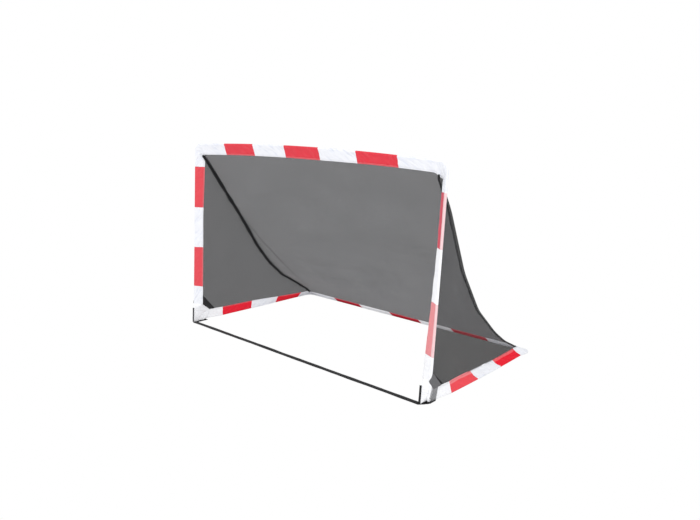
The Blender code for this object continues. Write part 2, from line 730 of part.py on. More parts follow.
def add_straps(base):
    """The front strap across the goal line, and under each boot a corner strap with its tail."""
    back = STRAP_FRONT + STRAP_WIDTH
    end = FOOT_HALF - STRAP_IN
    box("front_strap", (-end, STRAP_FRONT, 0.0), (end, back, STRAP_THICKNESS), "black_webbing", base)
    for side in SIDES:
        add_corner_strap(side, back + GAP, base)


def add_corner_strap(side, front_y, base):
    """Webbing flat on the floor under a boot, and its tail that leans out up the boot's outer side."""
    inner = CORNER_WEB_MIDDLE - CORNER_WEB / 2
    outer = FOOT_HALF + TAIL_OUT
    head = BOOT_SIDE + GAP
    work = bmesh.new()
    low, tail = 0.0, STRAP_THICKNESS
    ys = [front_y, TAIL_Y, TAIL_Y + TAIL_WIDTH, CORNER_WEB_BACK]
    profile = [(inner, low), (outer, low), (outer + tail, low), (inner, tail), (outer, tail),
               (outer + tail, tail)]
    rows = [[work.verts.new(mirrored(Vector((x, y, z)), side)) for x, z in profile] for y in ys]
    crown = [[work.verts.new(mirrored(Vector((x, y, TAIL_TOP)), side)) for x in (head, head + tail)]
             for y in ys[1:3]]
    for a, b in zip(rows, rows[1:]):
        for k, n in ((0, 1), (1, 2), (3, 4), (4, 5), (0, 3), (2, 5)):
            if a is rows[1] and (k, n) == (4, 5):
                continue
            work.faces.new((a[k], a[n], b[n], b[k]))
    for row in (rows[0], rows[-1]):
        work.faces.new((row[0], row[1], row[4], row[3]))
        work.faces.new((row[1], row[2], row[5], row[4]))
    a, b = rows[1], rows[2]
    for k, c in ((4, 0), (5, 1)):
        work.faces.new((a[k], b[k], crown[1][c], crown[0][c]))
    for row, top in ((a, crown[0]), (b, crown[1])):
        work.faces.new((row[4], row[5], top[1], top[0]))
    work.faces.new((crown[0][0], crown[0][1], crown[1][1], crown[1][0]))
    bmesh.ops.recalc_face_normals(work, faces=work.faces)
    mesh = bpy.data.meshes.new(f"{side}_corner_strap")
    work.to_mesh(mesh)
    work.free()
    add_object(f"{side}_corner_strap", mesh, "black_webbing", base)


def add_binding(side, base):
    """Narrow tape down the boot's front seam, from its top to the front strap."""
    floor = STRAP_THICKNESS + GAP
    away = GAP + HEM_THICKNESS / 2 + BINDING_THICKNESS / 2
    rows = []
    for rod, _, (fin, growth) in boot_line(side):
        if growth < 0.999 or rod.y > BOOT_BEND_R / 2:
            continue
        middle = Vector((fin.x, fin.y - away, fin.z))
        half = Vector((BINDING_WIDTH / 2, 0.0, 0.0))
        if middle.z > floor + HEM_THICKNESS:
            rows.append([mirrored(middle - half, side), mirrored(middle + half, side)])
    foot = [Vector((p.x, p.y, floor)) for p in rows[-1]]
    sheet(rows + [foot], f"{side}_boot_binding", BINDING_THICKNESS, "black_webbing", base)


def add_outer_patch(side, base):
    """Webbing over the outside of the boot, from the post's foot to the ground sleeve."""
    outer = BOOT_SIDE + GAP + PATCH_THICKNESS / 2
    floor = TAIL_TOP + GAP
    corners = [Vector((outer, 0.0, BOOT_TOP + 0.004)), Vector((outer, 0.004, BOOT_TOP + 0.032)),
               Vector((outer, TAIL_Y, floor)), Vector((outer, BOOT_DEPTH - 0.022, floor))]
    rows = []
    for i in range(5):
        a = corners[0].lerp(corners[2], i / 4)
        b = corners[1].lerp(corners[3], i / 4)
        rows.append([mirrored(a.lerp(b, k / 3), side) for k in range(4)])
    sheet(rows, f"{side}_outer_patch", PATCH_THICKNESS, "black_webbing", base)


clear_scene()
goal = bpy.data.collections.new("popup_ball_goal")
bpy.context.scene.collection.children.link(goal)
materials = {name: make_material(name) for name in COLOURS}

base_frame = bpy.data.objects.new("base", None)
base_frame.location = (0.0, -(STRAP_FRONT + STRAP_WIDTH / 2), 0.0)
goal.objects.link(base_frame)
arch_frame = bpy.data.objects.new("front_hinge", None)
arch_frame.location = (0.0, HINGE_Z * math.tan(FRONT_LEAN), HINGE_Z)
arch_frame.parent = base_frame
goal.objects.link(arch_frame)

front_border = whole_border(front_half(), front_half())
ground_border = whole_border(ground_half("left"), ground_half("right"))
borders = {"front": front_border, "ground": ground_border}
add_bands(front_border, ("post_band", "top_corner", "crossbar_band"), arch_frame)
add_bands(ground_border, ("ground_band", "rear_corner", "rear_band"), base_frame)
add_rods(front_border, ground_border, arch_frame, base_frame)
add_net(front_border, ground_border, base_frame)
add_straps(base_frame)
for this_side in SIDES:
    add_boot(this_side, base_frame)
    add_patch(this_side, front_border, ground_border, base_frame)
    add_outer_patch(this_side, base_frame)
    add_binding(this_side, base_frame)
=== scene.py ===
"""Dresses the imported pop-up ball goal: sleeves, boots, webbing, mesh panels and rods, in a plain studio.

Lengths are in metres. The functions take Y from the front of the posts' feet, as the part's source does,
and each finished mesh moves back by FEET_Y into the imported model's frame.
"""

import math
from bisect import bisect_right

import bmesh
import bpy
from bpy.props import FloatProperty, FloatVectorProperty, IntProperty, PointerProperty
from mathutils import Matrix, Vector, noise


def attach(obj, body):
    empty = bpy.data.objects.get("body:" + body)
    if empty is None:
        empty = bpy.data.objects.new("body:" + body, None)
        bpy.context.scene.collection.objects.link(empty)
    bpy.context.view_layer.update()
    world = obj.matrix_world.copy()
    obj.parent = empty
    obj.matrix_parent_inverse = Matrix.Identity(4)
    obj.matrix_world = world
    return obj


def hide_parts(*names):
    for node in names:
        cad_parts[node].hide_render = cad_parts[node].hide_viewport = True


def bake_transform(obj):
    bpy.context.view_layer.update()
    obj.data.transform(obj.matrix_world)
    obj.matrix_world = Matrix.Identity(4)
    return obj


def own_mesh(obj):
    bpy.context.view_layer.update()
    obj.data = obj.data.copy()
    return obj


bl_info = {
    "name": "Pop-up ball goal",
    "version": (1, 0, 0),
    "blender": (4, 5, 0),
    "location": "3D View > Sidebar > Goal",
    "description": "Builds the cloth, webbing, net and studio of a pop-up ball goal",
    "category": "Object",
}

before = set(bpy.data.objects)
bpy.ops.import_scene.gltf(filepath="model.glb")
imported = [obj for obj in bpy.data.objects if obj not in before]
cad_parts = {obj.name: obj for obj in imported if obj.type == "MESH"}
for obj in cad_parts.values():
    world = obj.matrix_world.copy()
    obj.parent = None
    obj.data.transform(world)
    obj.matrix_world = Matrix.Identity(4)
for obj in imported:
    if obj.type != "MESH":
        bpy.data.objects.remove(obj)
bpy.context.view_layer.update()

# The frame's own sizes, as in the part's source. The posts' tables go by share of the height, the ground
# sleeve's by share of the depth, and the seam's by share of its length: (share, sag, draw inwards).
# Tilts and leans in them are in degrees, and reaches are shares of the widest.
FEET_Y = 0.0205
WIDTH = 1.600
HEIGHT = 0.990
FRONT_LEAN = math.radians(1.28)
BAR_BOW = 0.0205
TOP_CORNER_R = 0.036
BAR_TILT = math.radians(17.0)
POST_TILT = ((0.10, 16.0), (0.18, 20.0), (0.26, 23.5), (0.43, 29.5), (0.61, 35.0), (0.79, 38.0),
             (0.93, 40.0))
POST_REACH = ((0.10, 1.0), (0.18, 0.95), (0.26, 0.91), (0.43, 0.85), (0.61, 0.79), (0.79, 0.86),
              (0.93, 0.90))
DEPTH = 0.927
REAR_CORNER_R = 0.045
FOOT_HALF = 0.782
SIDE_HALF = {"left": 0.773, "right": 0.792}
SIDE_BOW = {"left": -0.004, "right": 0.008}
SIDE_LEAN = {
    "left": ((0.10, 2.0), (0.18, 4.0), (0.42, 12.0), (0.66, 34.0), (0.90, 49.0)),
    "right": ((0.10, 8.0), (0.18, 14.0), (0.42, 55.0), (0.66, 64.0), (0.90, 57.0)),
}
NOSE_R = 0.005
BAND_REACH = 0.055
GROUND_REACH = 0.047
HEM_THICKNESS = 0.002
HEM_DEPTH = 0.008
HEM_CORNER_R = 0.010
TOP_WHITE = 0.1235
FOOT_WHITE = 0.2026
BAR_WHITE = 0.24675
FRONT_WHITE = 0.166
REAR_WHITE = 0.0971
STRIPES_UP = 3
STRIPES_ACROSS = 5
BOOT_TOP = 0.100
BOOT_DEPTH = 0.087
BOOT_BEND_R = 0.024
BOOT_NOSE_R = 0.0065
HINGE_Z = 0.068
FIN_IN = 0.028
FIN_FOOT_IN = 0.015
FIN_OUT = 0.027
FIN_TOP = 0.084
FIN_END = 0.040
STRAP_THICKNESS = 0.0015
STRAP_WIDTH = 0.025
STRAP_FRONT = -0.033
STRAP_IN = 0.019
CORNER_WEB = 0.038
CORNER_WEB_BACK = 0.060
CORNER_WEB_IN = 0.011
TAIL_WIDTH = 0.034
TAIL_Y = 0.014
TAIL_TOP = 0.066
TAIL_OUT = 0.013
SEAM_BEND = ((0.12, 0.0197, -0.0018), (0.26, 0.0474, 0.0070), (0.41, 0.0686, 0.0223),
             (0.62, 0.0881, 0.0225), (0.82, 0.0551, 0.0242), (0.93, 0.0280, 0.0185))
SEAM_START = 0.0040
TAPE_WIDTH = 0.014
BACK_BELLY = 2.0
GAP = 0.0004

# Where the cloth and webbing in the photo stray from those sizes. GROUND_SLIP moves the ground sleeve's
# colour borders along the rod, one by one from the left boot.
REAR_LEAN = math.radians(57.0)
BAR_TAPER = {"left": 0.0, "right": 0.14}
TOP_HEM_CUT = {"left": 0.012, "right": 0.024}
GROUND_SLIP = (0.0, 0.013, 0.007, -0.010, -0.032, 0.031, 0.017, 0.034, 0.022, 0.020, 0.016)
REAR_EAR = 0.016
LEFT_SAG = ((0.0, 0.0), (0.15, -0.006), (0.28, -0.010), (0.39, -0.004), (0.50, 0.005), (0.61, 0.001),
            (0.70, 0.006), (0.74, 0.009), (0.80, -0.001), (0.86, -0.006), (0.94, -0.009), (1.0, 0.0))
SEAM_TUCK = 0.009
UNDER_EDGE = ((0.0, 0.0), (0.25, 0.18), (0.45, 0.44), (0.62, 0.58), (0.80, 0.72), (1.0, 1.0))
PATCH_WRAP = {"left": -0.002, "right": -0.014}

# Painted light and shade that differ from band to band: paler glare and haze, reds tinted darker at the
# rear as painted shade and redder and a little lighter on the ground as painted light, and a lighter tail
# webbing
PAINTED_HAZE = {"left_post_band_1": 0.05, "left_post_band_3": 0.05, "right_post_band_3": 0.32,
        "right_ground_band_3": 0.09}
PAINTED_RED_TINT = {"rear_band": (0.74, 0.50, 0.70), "left_ground": (1.08, 0.80, 0.90),
                "right_ground": (1.12, 0.60, 0.75)}
HEM_GLARE = {"right_ground_band_3": 0.30, "right_ground_band_1": 0.20}
TAIL_LIT = 1.9

# What follows from the sizes
ROD_HALF = WIDTH / 2 - NOSE_R
ROD_HEIGHT = HEIGHT - NOSE_R
REAR_Y = DEPTH - NOSE_R
ABOVE_STRAP = STRAP_THICKNESS + GAP
FOOT_Z = ABOVE_STRAP + BOOT_NOSE_R
BOOT_SIDE = max(ROD_HALF, FOOT_HALF) + BOOT_NOSE_R
CORNER_WEB_MIDDLE = FOOT_HALF - CORNER_WEB_IN
STRIPE_END = WIDTH / 2 - BAR_WHITE
PATCH_UP = BOOT_TOP + CORNER_WEB * math.sqrt(2.0)
PATCH_BACK = BOOT_DEPTH + CORNER_WEB
TAIL_BLACK_TO = CORNER_WEB + 0.014

# How finely the pieces are made, and the small sizes that only the looks have
SIDES = ("left", "right")
UV_NAME = "cloth"
CORNER_STEPS = 12
NOSE_STEPS = 10
FLAT_STEPS = 9
FIN_STEPS = 6
HEM_STEPS = 8
BEND_STEPS = 12
SIDE_COLUMNS = 40
SEWN_GAP = 0.0001
GATHER_END = 0.010
SEAM_HALF = 0.0022
SEAM_SINK = 0.0007
CREASE_HALF = 0.0016
CREASE_SINK = 0.0003
EAR_HALF = 0.042
FIN_ROOT = (0.44, 0.47)
STITCH_AT = HEM_DEPTH * 0.62
NET_INSET = 0.003
TAPE_LIFT = 0.0022
TAPE_THICKNESS = 0.0012
TAPE_EXTRA = {"left": 0.48, "right": 0.12}
PATCH_THICKNESS = 0.0014
BINDING_WIDTH = 0.010
STRAP_STEP = 0.0105
STRAP_TIP = 0.020
STRAP_STRAY = 0.0022
STRAP_RISE = 0.0014
STRAP_TWIST = 0.0012
STRAP_HELD = 0.05
STRAP_LEAST = 0.0005
TAIL_BEND_R = 0.004
TAIL_NARROWING = 0.006
BOOT_FOLD = 0.0012
BOOT_SWELL = 0.0003
BOOT_HOLLOW = 0.0022
WHITE = (1.0, 1.0, 1.0, 1.0)
LIGHT_TARGET = Vector((0.0, 0.3, 0.4))


class GoalSleeves(bpy.types.PropertyGroup):
    """The striped cloth sleeves on both hoops, and the boots."""

    red: FloatVectorProperty(
        name="Red", description="Dye of the red bands", subtype="COLOR", size=3, min=0.0, max=1.0,
        default=(0.76, 0.026, 0.046))
    white: FloatVectorProperty(
        name="White", description="Colour of the white bands and boots", subtype="COLOR", size=3,
        min=0.0, max=1.0, default=(0.885, 0.895, 0.925))
    # The lit copy of the white cloth: painted light. The boots are made of it too.
    bright: FloatVectorProperty(
        name="Bright white", description="Colour of the white cloth where the light is strongest",
        subtype="COLOR", size=3, min=0.0, max=1.0, default=(0.95, 0.95, 0.96))
    row_step: FloatProperty(
        name="Row step", description="Length of cloth between two rings of points", default=0.0065,
        min=0.002, max=0.05, unit="LENGTH")
    pucker: FloatProperty(
        name="Pucker", description="Height of the cloth's small folds", default=0.0013, min=0.0,
        max=0.003, unit="LENGTH")
    corner_crease: FloatProperty(
        name="Corner creases", description="Height of the slanting creases at the top corners",
        default=0.0024, min=0.0, max=0.004, unit="LENGTH")
    lengthwise_sag: FloatProperty(
        name="Lengthwise crease",
        description="How far the flat-lying ground sleeve sinks between rod and hem", default=0.0060,
        min=0.0, max=0.008, unit="LENGTH")
    border_wave: FloatProperty(
        name="Border wave",
        description="How far a sewn border between two colours strays along the sleeve", default=0.0016,
        min=0.0, max=0.006, unit="LENGTH")
    glare: FloatProperty(
        name="Glare", description="How far the light bleaches the red along the right post's rod",
        default=0.80, min=0.0, max=1.0, subtype="FACTOR")
    haze: FloatProperty(
        name="Haze",
        description="How far the light bleaches the hazy bands, as a share of their own haze",
        default=1.0, min=0.0, max=2.0, subtype="FACTOR")


class GoalNet(bpy.types.PropertyGroup):
    """The three mesh panels."""

    # The panels are one yarn; each panel's lightness is painted light and shade, the right's darkest as
    # painted shade
    back_shade: FloatProperty(
        name="Back shade", description="Lightness of the back panel's yarn", default=0.185, min=0.0,
        max=1.0)
    left_shade: FloatProperty(
        name="Left shade", description="Lightness of the left panel's yarn", default=0.118, min=0.0,
        max=1.0)
    right_shade: FloatProperty(
        name="Right shade",
        description="Lightness of the right panel's yarn, which faces away from the light",
        default=0.012, min=0.0, max=1.0)
    cover: FloatProperty(
        name="Cover", description="Share of the mesh that is yarn", default=0.60, min=0.1, max=1.0,
        subtype="FACTOR")
    right_cover: FloatProperty(
        name="Right cover", description="Share of the right panel that is yarn", default=0.50, min=0.1,
        max=1.0, subtype="FACTOR")
    pitch: FloatProperty(
        name="Pitch", description="Distance between two holes of the mesh", default=0.0024, min=0.001,
        max=0.01, unit="LENGTH")
    rows: IntProperty(
        name="Rows", description="Rows of points down each panel", default=72, min=16, max=200)
    columns: IntProperty(
        name="Columns", description="Columns of points across the back panel", default=96, min=20,
        max=200)
    ripple: FloatProperty(
        name="Ripple", description="Height of the slack mesh's ripples", default=0.0035, min=0.0,
        max=0.01, unit="LENGTH")


class GoalWebbing(bpy.types.PropertyGroup):
    """Straps, patches, seam tapes and the boots' narrow tapes."""

    black: FloatVectorProperty(
        name="Black", description="Colour of the straps and tapes", subtype="COLOR", size=3, min=0.0,
        max=1.0, default=(0.008, 0.008, 0.009))
    # The black webbing's lit copy, for the webbing outside the boots: painted light
    worn: FloatVectorProperty(
        name="Painted lit black", description="Colour of the webbing outside the boots, which catches the light",
        subtype="COLOR", size=3, min=0.0, max=1.0, default=(0.142, 0.142, 0.146))
    rib: FloatProperty(
        name="Rib", description="Distance between two ribs of the weave", default=0.0016, min=0.0005,
        max=0.005, unit="LENGTH")


class GoalStudio(bpy.types.PropertyGroup):
    """Camera, floor and lights."""

    focal: FloatProperty(
        name="Focal length", description="Lens for a sensor 36 mm wide", default=32.45, min=10.0,
        max=200.0)
    place: FloatVectorProperty(
        name="Camera place", description="Where the camera stands", subtype="TRANSLATION",
        unit="LENGTH", size=3, default=(2.0875, -2.0560, 1.0838))
    yaw: FloatProperty(
        name="Yaw", description="Turn of the view from the goal's depth towards its left",
        default=0.69904, subtype="ANGLE", unit="ROTATION")
    pitch: FloatProperty(
        name="Pitch", description="How far the camera looks down", default=0.200308, subtype="ANGLE",
        unit="ROTATION")
    roll: FloatProperty(
        name="Roll", description="Tilt of the camera", default=0.039632, subtype="ANGLE",
        unit="ROTATION")
    seen_through: FloatProperty(
        name="Seen through", description="Brightness of the floor and backdrop behind the mesh",
        default=0.168, min=0.0, max=1.0)
    sky: FloatProperty(
        name="Surround", description="Strength of the even light from all round", default=0.88, min=0.0,
        max=5.0)
    key: FloatProperty(
        name="Key light", description="Power of the large light at the front right", default=85.0,
        min=0.0, max=5000.0, unit="POWER")
    fill: FloatProperty(
        name="Fill light", description="Power of the large light at the left", default=35.0, min=0.0,
        max=5000.0, unit="POWER")


class Value:
    """A shader's number: an output socket, with the usual arithmetic."""

    def __init__(self, graph, socket):
        self.graph = graph
        self.socket = socket

    def math(self, operation, *others):
        return self.graph.math(operation, self, *others)

    def __add__(self, other):
        return self.math("ADD", other)

    def __radd__(self, other):
        return self.graph.math("ADD", other, self)

    def __sub__(self, other):
        return self.math("SUBTRACT", other)

    def __rsub__(self, other):
        return self.graph.math("SUBTRACT", other, self)

    def __mul__(self, other):
        return self.math("MULTIPLY", other)

    def __rmul__(self, other):
        return self.graph.math("MULTIPLY", other, self)

    def __truediv__(self, other):
        return self.math("DIVIDE", other)

    def __rtruediv__(self, other):
        return self.graph.math("DIVIDE", other, self)

    def sin(self):
        return self.math("SINE")

    def abs(self):
        return self.math("ABSOLUTE")

    def fract(self):
        return self.math("FRACT")

    def above(self, other):
        return self.math("GREATER_THAN", other)

    def below(self, other):
        return self.math("LESS_THAN", other)

    def clamped(self):
        return self.math("MAXIMUM", 0.0).math("MINIMUM", 1.0)


class Graph:
    """A material's or world's nodes, made by short calls."""

    def __init__(self, owner):
        owner.use_nodes = True
        self.tree = owner.node_tree
        self.tree.nodes.clear()

    def node(self, kind, settings=None, inputs=None):
        made = self.tree.nodes.new(kind)
        for name, value in (settings or {}).items():
            setattr(made, name, value)
        for name, value in (inputs or {}).items():
            self.feed(made.inputs[name], value)
        return made

    def feed(self, target, value):
        if isinstance(value, Value):
            self.tree.links.new(value.socket, target)
        elif isinstance(value, bpy.types.NodeSocket):
            self.tree.links.new(value, target)
        else:
            target.default_value = value

    def out(self, made, name=0):
        return Value(self, made.outputs[name])

    def math(self, operation, *values):
        made = self.node("ShaderNodeMath", {"operation": operation})
        for target, value in zip(made.inputs, values):
            self.feed(target, value)
        return self.out(made)

    def mix_colour(self, factor, a, b):
        made = self.node("ShaderNodeMix", {"data_type": "RGBA"})
        self.feed(made.inputs["Factor"], factor)
        self.feed(made.inputs[6], a)
        self.feed(made.inputs[7], b)
        return self.out(made, 2)

    def scaled(self, vector, scale):
        made = self.node("ShaderNodeVectorMath", {"operation": "MULTIPLY"})
        self.feed(made.inputs[0], vector)
        self.feed(made.inputs[1], scale)
        return self.out(made)

    def cloth_place(self):
        """The place on the cloth in metres: the vector, its distance along and its distance across."""
        place = self.out(self.node("ShaderNodeUVMap", {"uv_map": UV_NAME}))
        split = self.node("ShaderNodeSeparateXYZ", None, {"Vector": place})
        return place, self.out(split, "X"), self.out(split, "Y")

    def noise(self, place, scale, detail=3.0, roughness=0.5, distortion=0.0):
        made = self.node("ShaderNodeTexNoise", {"noise_dimensions": "3D"},
                         {"Vector": self.scaled(place, scale), "Scale": 1.0, "Detail": detail,
                          "Roughness": roughness, "Distortion": distortion})
        return self.out(made, 0)

    def bump(self, height, distance, strength=1.0, normal=None):
        made = self.node("ShaderNodeBump", None,
                         {"Strength": strength, "Distance": distance, "Height": height})
        if normal is not None:
            self.feed(made.inputs["Normal"], normal)
        return self.out(made)

    def finish(self, shader, target="ShaderNodeOutputMaterial"):
        self.tree.links.new(shader.outputs[0], self.node(target).inputs["Surface"])


def opaque(colour):
    return (*colour, 1.0)


def darker(colour, share):
    return opaque([c * share for c in colour])


def tinted(colour, factors):
    return opaque([c * factor for c, factor in zip(colour, factors)])


def paler(colour, share, lift):
    return opaque([c * share + lift for c in colour])


def plain_shader(graph, colour, roughness, normal, constants):
    made = graph.node("ShaderNodeBsdfPrincipled", None, {"Base Color": colour, "Roughness": roughness})
    if normal is not None:
        graph.feed(made.inputs["Normal"], normal)
    for name, value in constants.items():
        made.inputs[name].default_value = value
    return made


def new_material(name, colour):
    made = bpy.data.materials.new(name)
    made.diffuse_color = opaque(colour)
    return made, Graph(made)


def sleeve_cloth(name, colour, seed, painted_wrinkle_shading=0.62, glare=0.0, haze=0.0, glare_from=0.70, hem_glare=0.0,
                 shine=1.0):
    """Plain-weave sleeve cloth: mottling, slanting wrinkles with painted shade in their hollows and a
    painted highlight on their crests, a sewn line near the hem with painted shade in its crease and a
    painted highlight along the hem's edge, and the weave.

    Glare is painted light: it paints paler the part beyond a share of the way from the hem to the rod, haze
    the whole, and hem glare the side towards the hem. Glare without haze first paints the whole band darker
    and bluer, as painted shade. The seed sets where the patterns lie.
    """
    made, graph = new_material(name, colour)
    place, along, across = graph.cloth_place()
    mottle = graph.noise(place, (9.0, 9.0, 1.0 + seed), 2.0)
    fine = graph.noise(place, (60.0, 90.0, 3.0 + seed), 3.0)
    shade = graph.mix_colour((mottle * 0.9 + fine * 0.35 - 0.12).clamped(), darker(colour, 0.90),
                             opaque(colour))
    slanted = graph.node("ShaderNodeCombineXYZ", None, {"X": along * 44.0 + across * 62.0,
                                                        "Y": across * 15.0 - along * 11.0, "Z": seed})
    wrinkles = graph.noise(graph.out(slanted), (1.0, 1.0, 1.0), 2.5, 0.55, 0.5)
    # Painted shade in the wrinkles' hollows
    painted_wrinkle_shade = tinted(colour, (0.70, 0.73, 0.82))
    shade = graph.mix_colour(((wrinkles - 0.50) * 4.0).clamped() * painted_wrinkle_shading, shade, painted_wrinkle_shade)
    # A painted highlight on the wrinkles' crests
    shade = graph.mix_colour(((0.46 - wrinkles) * 3.4).clamped() * 0.16, shade, paler(colour, 0.80, 0.20))
    if hem_glare:
        # Painted light: the side towards the hem is painted paler
        strip = GROUND_REACH * 0.24
        towards_hem = ((strip - across + mottle * 0.008) / 0.003).clamped()
        shade = graph.mix_colour(towards_hem * hem_glare, shade, paler(colour, 0.40, 0.52))
    if glare:
        # Without haze, the whole band is first painted darker and bluer: painted shade on its face
        if not haze:
            shade = graph.mix_colour(0.45, shade, tinted(colour, (0.62, 0.90, 1.8)))
        # Painted light: paler towards the rod, and by the haze all over
        bleached = paler(colour, 0.22, 0.70)
        post_reach = BAND_REACH * 0.86
        start = post_reach * glare_from + NOSE_R
        towards_rod = ((across + mottle * 0.010 - start) / 0.004).clamped()
        shade = graph.mix_colour(towards_rod * (glare - haze) + haze, shade, bleached)
    stitch, thread_half, thread_pitch = 0.0040, 0.0006, 0.0011
    line = (across - STITCH_AT).abs()
    thread = line.below(thread_half) * (along / stitch).fract().below(0.68)
    crease_line = line.below(CREASE_HALF)
    # Painted shade in the crease along the sewn line
    shade = graph.mix_colour(crease_line * 0.22, shade, darker(colour, 0.55))
    shade = graph.mix_colour(thread * 0.65, shade, paler(colour, 0.5, 0.42))
    # A painted highlight along the hem's edge
    shade = graph.mix_colour(across.below(CREASE_HALF) * 0.30, shade, paler(colour, 0.6, 0.36))
    creases = graph.noise(place, (52.0, 17.0, 5.0 + seed), 3.0, 0.55, 0.9)
    turn = math.tau / thread_pitch
    weave = (along * turn).sin() * (across * turn).sin()
    normal = graph.bump(creases * 0.6 - wrinkles, 0.0055, 0.9)
    normal = graph.bump(thread * 1.0 - crease_line * 0.8, 0.0004, 0.9, normal)
    normal = graph.bump(weave, 0.00006, 0.5, normal)
    roughness = (fine * 0.16 + 0.56).clamped()
    graph.finish(plain_shader(graph, shade, roughness, normal,
                              {"Sheen Weight": 0.12 * shine, "Sheen Roughness": 0.45,
                               "Specular IOR Level": 0.35 * shine}))
    return made


def net_mesh(name, net, painted_panel_lightness, share, painted_crease=False):
    """Fine knitted mesh: rows of holes set half a pitch off each other, soft enough to read as one grey.
    Its lightness is painted light and shade, set for each panel.

    With a painted crease, it has a slack line that bows away from the left seam, as the back panel has,
    painted darker as painted shade and with more yarn.
    """
    yarn_colour = (painted_panel_lightness, painted_panel_lightness, painted_panel_lightness * 1.02)
    made, graph = new_material(name, yarn_colour)
    made.surface_render_method = "DITHERED"
    place, along, across = graph.cloth_place()
    turn = math.tau / net.pitch
    holes = (along * turn).sin() * (across * (turn * 0.62)).sin()
    slack = graph.noise(place, (5.0, 3.0, 1.0), 2.0)
    yarn = graph.noise(place, (240.0, 70.0, 2.0), 2.0)
    streak = graph.noise(place, (3.0, 26.0, 4.0), 2.0)
    tone = ((slack - 0.5) * 1.2 + yarn * 0.3 + streak * 0.2 + 0.25).clamped()
    shade = graph.mix_colour(tone, darker(yarn_colour, 0.86), darker(yarn_colour, 1.13))
    cover = (holes * 0.20 + slack * 0.05 + (share - 0.025)).clamped()
    if painted_crease:
        # The slack line's painted shade: darker yarn, and more of it
        bow = ((along - 0.46) * (math.pi / 0.82)).sin() * 0.098
        depth = 1.0 - ((across - bow - slack * 0.008).abs() / 0.0085).clamped()
        depth = depth * ((along - 0.47) / 0.08).clamped() * ((1.18 - along) / 0.08).clamped()
        shade = graph.mix_colour(depth * 0.85, shade, darker(yarn_colour, 0.20))
        cover = (cover + depth * 0.22).clamped()
    normal = graph.bump(holes, 0.0002, 0.5)
    normal = graph.bump(streak + slack, 0.004, 0.35, normal)
    shader = plain_shader(graph, shade, (yarn * 0.2 + 0.68).clamped(), normal,
                          {"Sheen Weight": 0.10, "Specular IOR Level": 0.25})
    graph.feed(shader.inputs["Alpha"], cover)
    graph.finish(shader)
    return made


def webbing(name, colour, rib, black_until=0.0):
    """Woven webbing: ribs across it, cords along it and dust, and black up to a distance along it."""
    made, graph = new_material(name, colour)
    place, along, across = graph.cloth_place()
    ribs = (along * (math.tau / rib)).sin()
    cords = (across * (math.tau / (rib * 1.4))).sin()
    dust = graph.noise(place, (35.0, 55.0, 2.0), 3.0)
    shade = graph.mix_colour((dust * 0.8 + ribs * 0.12).clamped(), darker(colour, 0.75),
                             paler(colour, 1.15, 0.012))
    if black_until:
        black = (0.008, 0.008, 0.009, 1.0)
        shade = graph.mix_colour(((along - black_until) / 0.008).clamped(), black, shade)
    normal = graph.bump(ribs * 0.6 + cords * 0.5, 0.00025, 0.9)
    normal = graph.bump(dust, 0.0012, 0.5, normal)
    graph.finish(plain_shader(graph, shade, (dust * 0.2 + 0.55).clamped(), normal,
                              {"Sheen Weight": 0.04, "Sheen Roughness": 0.4, "Specular IOR Level": 0.25}))
    return made


def smooth_solid(name, colour, roughness, grain):
    """A drawn rod or moulded cap, with faint lengthwise grain or moulding marks."""
    made, graph = new_material(name, colour)
    place = graph.out(graph.node("ShaderNodeTexCoord"), "Object")
    marks = graph.noise(place, grain, 3.0)
    shade = graph.mix_colour(marks, darker(colour, 0.80), darker(colour, 1.10))
    normal = graph.bump(marks, 0.0002, 0.4)
    graph.finish(plain_shader(graph, shade, (marks * 0.2 + roughness).clamped(), normal,
                              {"Specular IOR Level": 0.5}))
    return made


def mirrored(point, side):
    """A point worked out on the right, moved to the given side."""
    return Vector((-point.x, point.y, point.z)) if side == "left" else point


def blend(table, share):
    """A table's value at a share, straight between its (share, value) rows."""
    if share <= table[0][0]:
        return table[0][1]
    for (low, a), (high, b) in zip(table, table[1:]):
        if share <= high:
            return a + (b - a) * (share - low) / (high - low)
    return table[-1][1]


def clamped(share):
    return min(max(share, 0.0), 1.0)


def eased(share):
    share = clamped(share)
    return share * share * (3.0 - 2.0 * share)


def hump(distance, half):
    """1 at no distance, and falling smoothly to nothing beyond about twice the half width."""
    return math.exp(-(distance / half) ** 2)


def runs_along(points):
    """Each point's distance along a line from its start."""
    runs = [0.0]
    for a, b in zip(points, points[1:]):
        runs.append(runs[-1] + (b - a).length)
    return runs


def square_to(direction, along):
    """The unit direction square to a line that lies nearest the given one."""
    return (direction - along * direction.dot(along)).normalized()


class Border:
    """A rod's middle line and the hem beside it, from stations of (rod, hem, is_cut)."""

    def __init__(self, stations):
        self.rod = [s[0] for s in stations]
        self.hem = [s[1] for s in stations]
        self.run = runs_along(self.rod)
        self.cuts = [run for run, s in zip(self.run, stations) if s[2]]

    def at(self, distance):
        """The rod's and the hem's points at a distance along the rod."""
        i = min(max(bisect_right(self.run, distance) - 1, 0), len(self.run) - 2)
        share = (distance - self.run[i]) / (self.run[i + 1] - self.run[i])
        return self.rod[i].lerp(self.rod[i + 1], share), self.hem[i].lerp(self.hem[i + 1], share)

    def along(self, distance):
        """The rod's direction."""
        step = 0.003
        return (self.at(distance + step)[0] - self.at(distance - step)[0]).normalized()

    def net_edge(self, distance, inset):
        """A point where the net goes into the hem, a little inside its edge."""
        rod, hem = self.at(distance)
        return hem - (hem - rod).normalized() * inset

    def net_edges(self, start, end, count, inset):
        return [self.net_edge(distance, inset) for distance in marks_between(start, end, count)]


def arch_point(x, up, back=0.0):
    """A place in the leaning plane of the arch, or behind it."""
    return Vector((x, up * math.sin(FRONT_LEAN) + back, up * math.cos(FRONT_LEAN)))


def marks_between(first, last, count):
    """Even marks that part a length into the given count."""
    return [first + (last - first) * i / count for i in range(count + 1)]


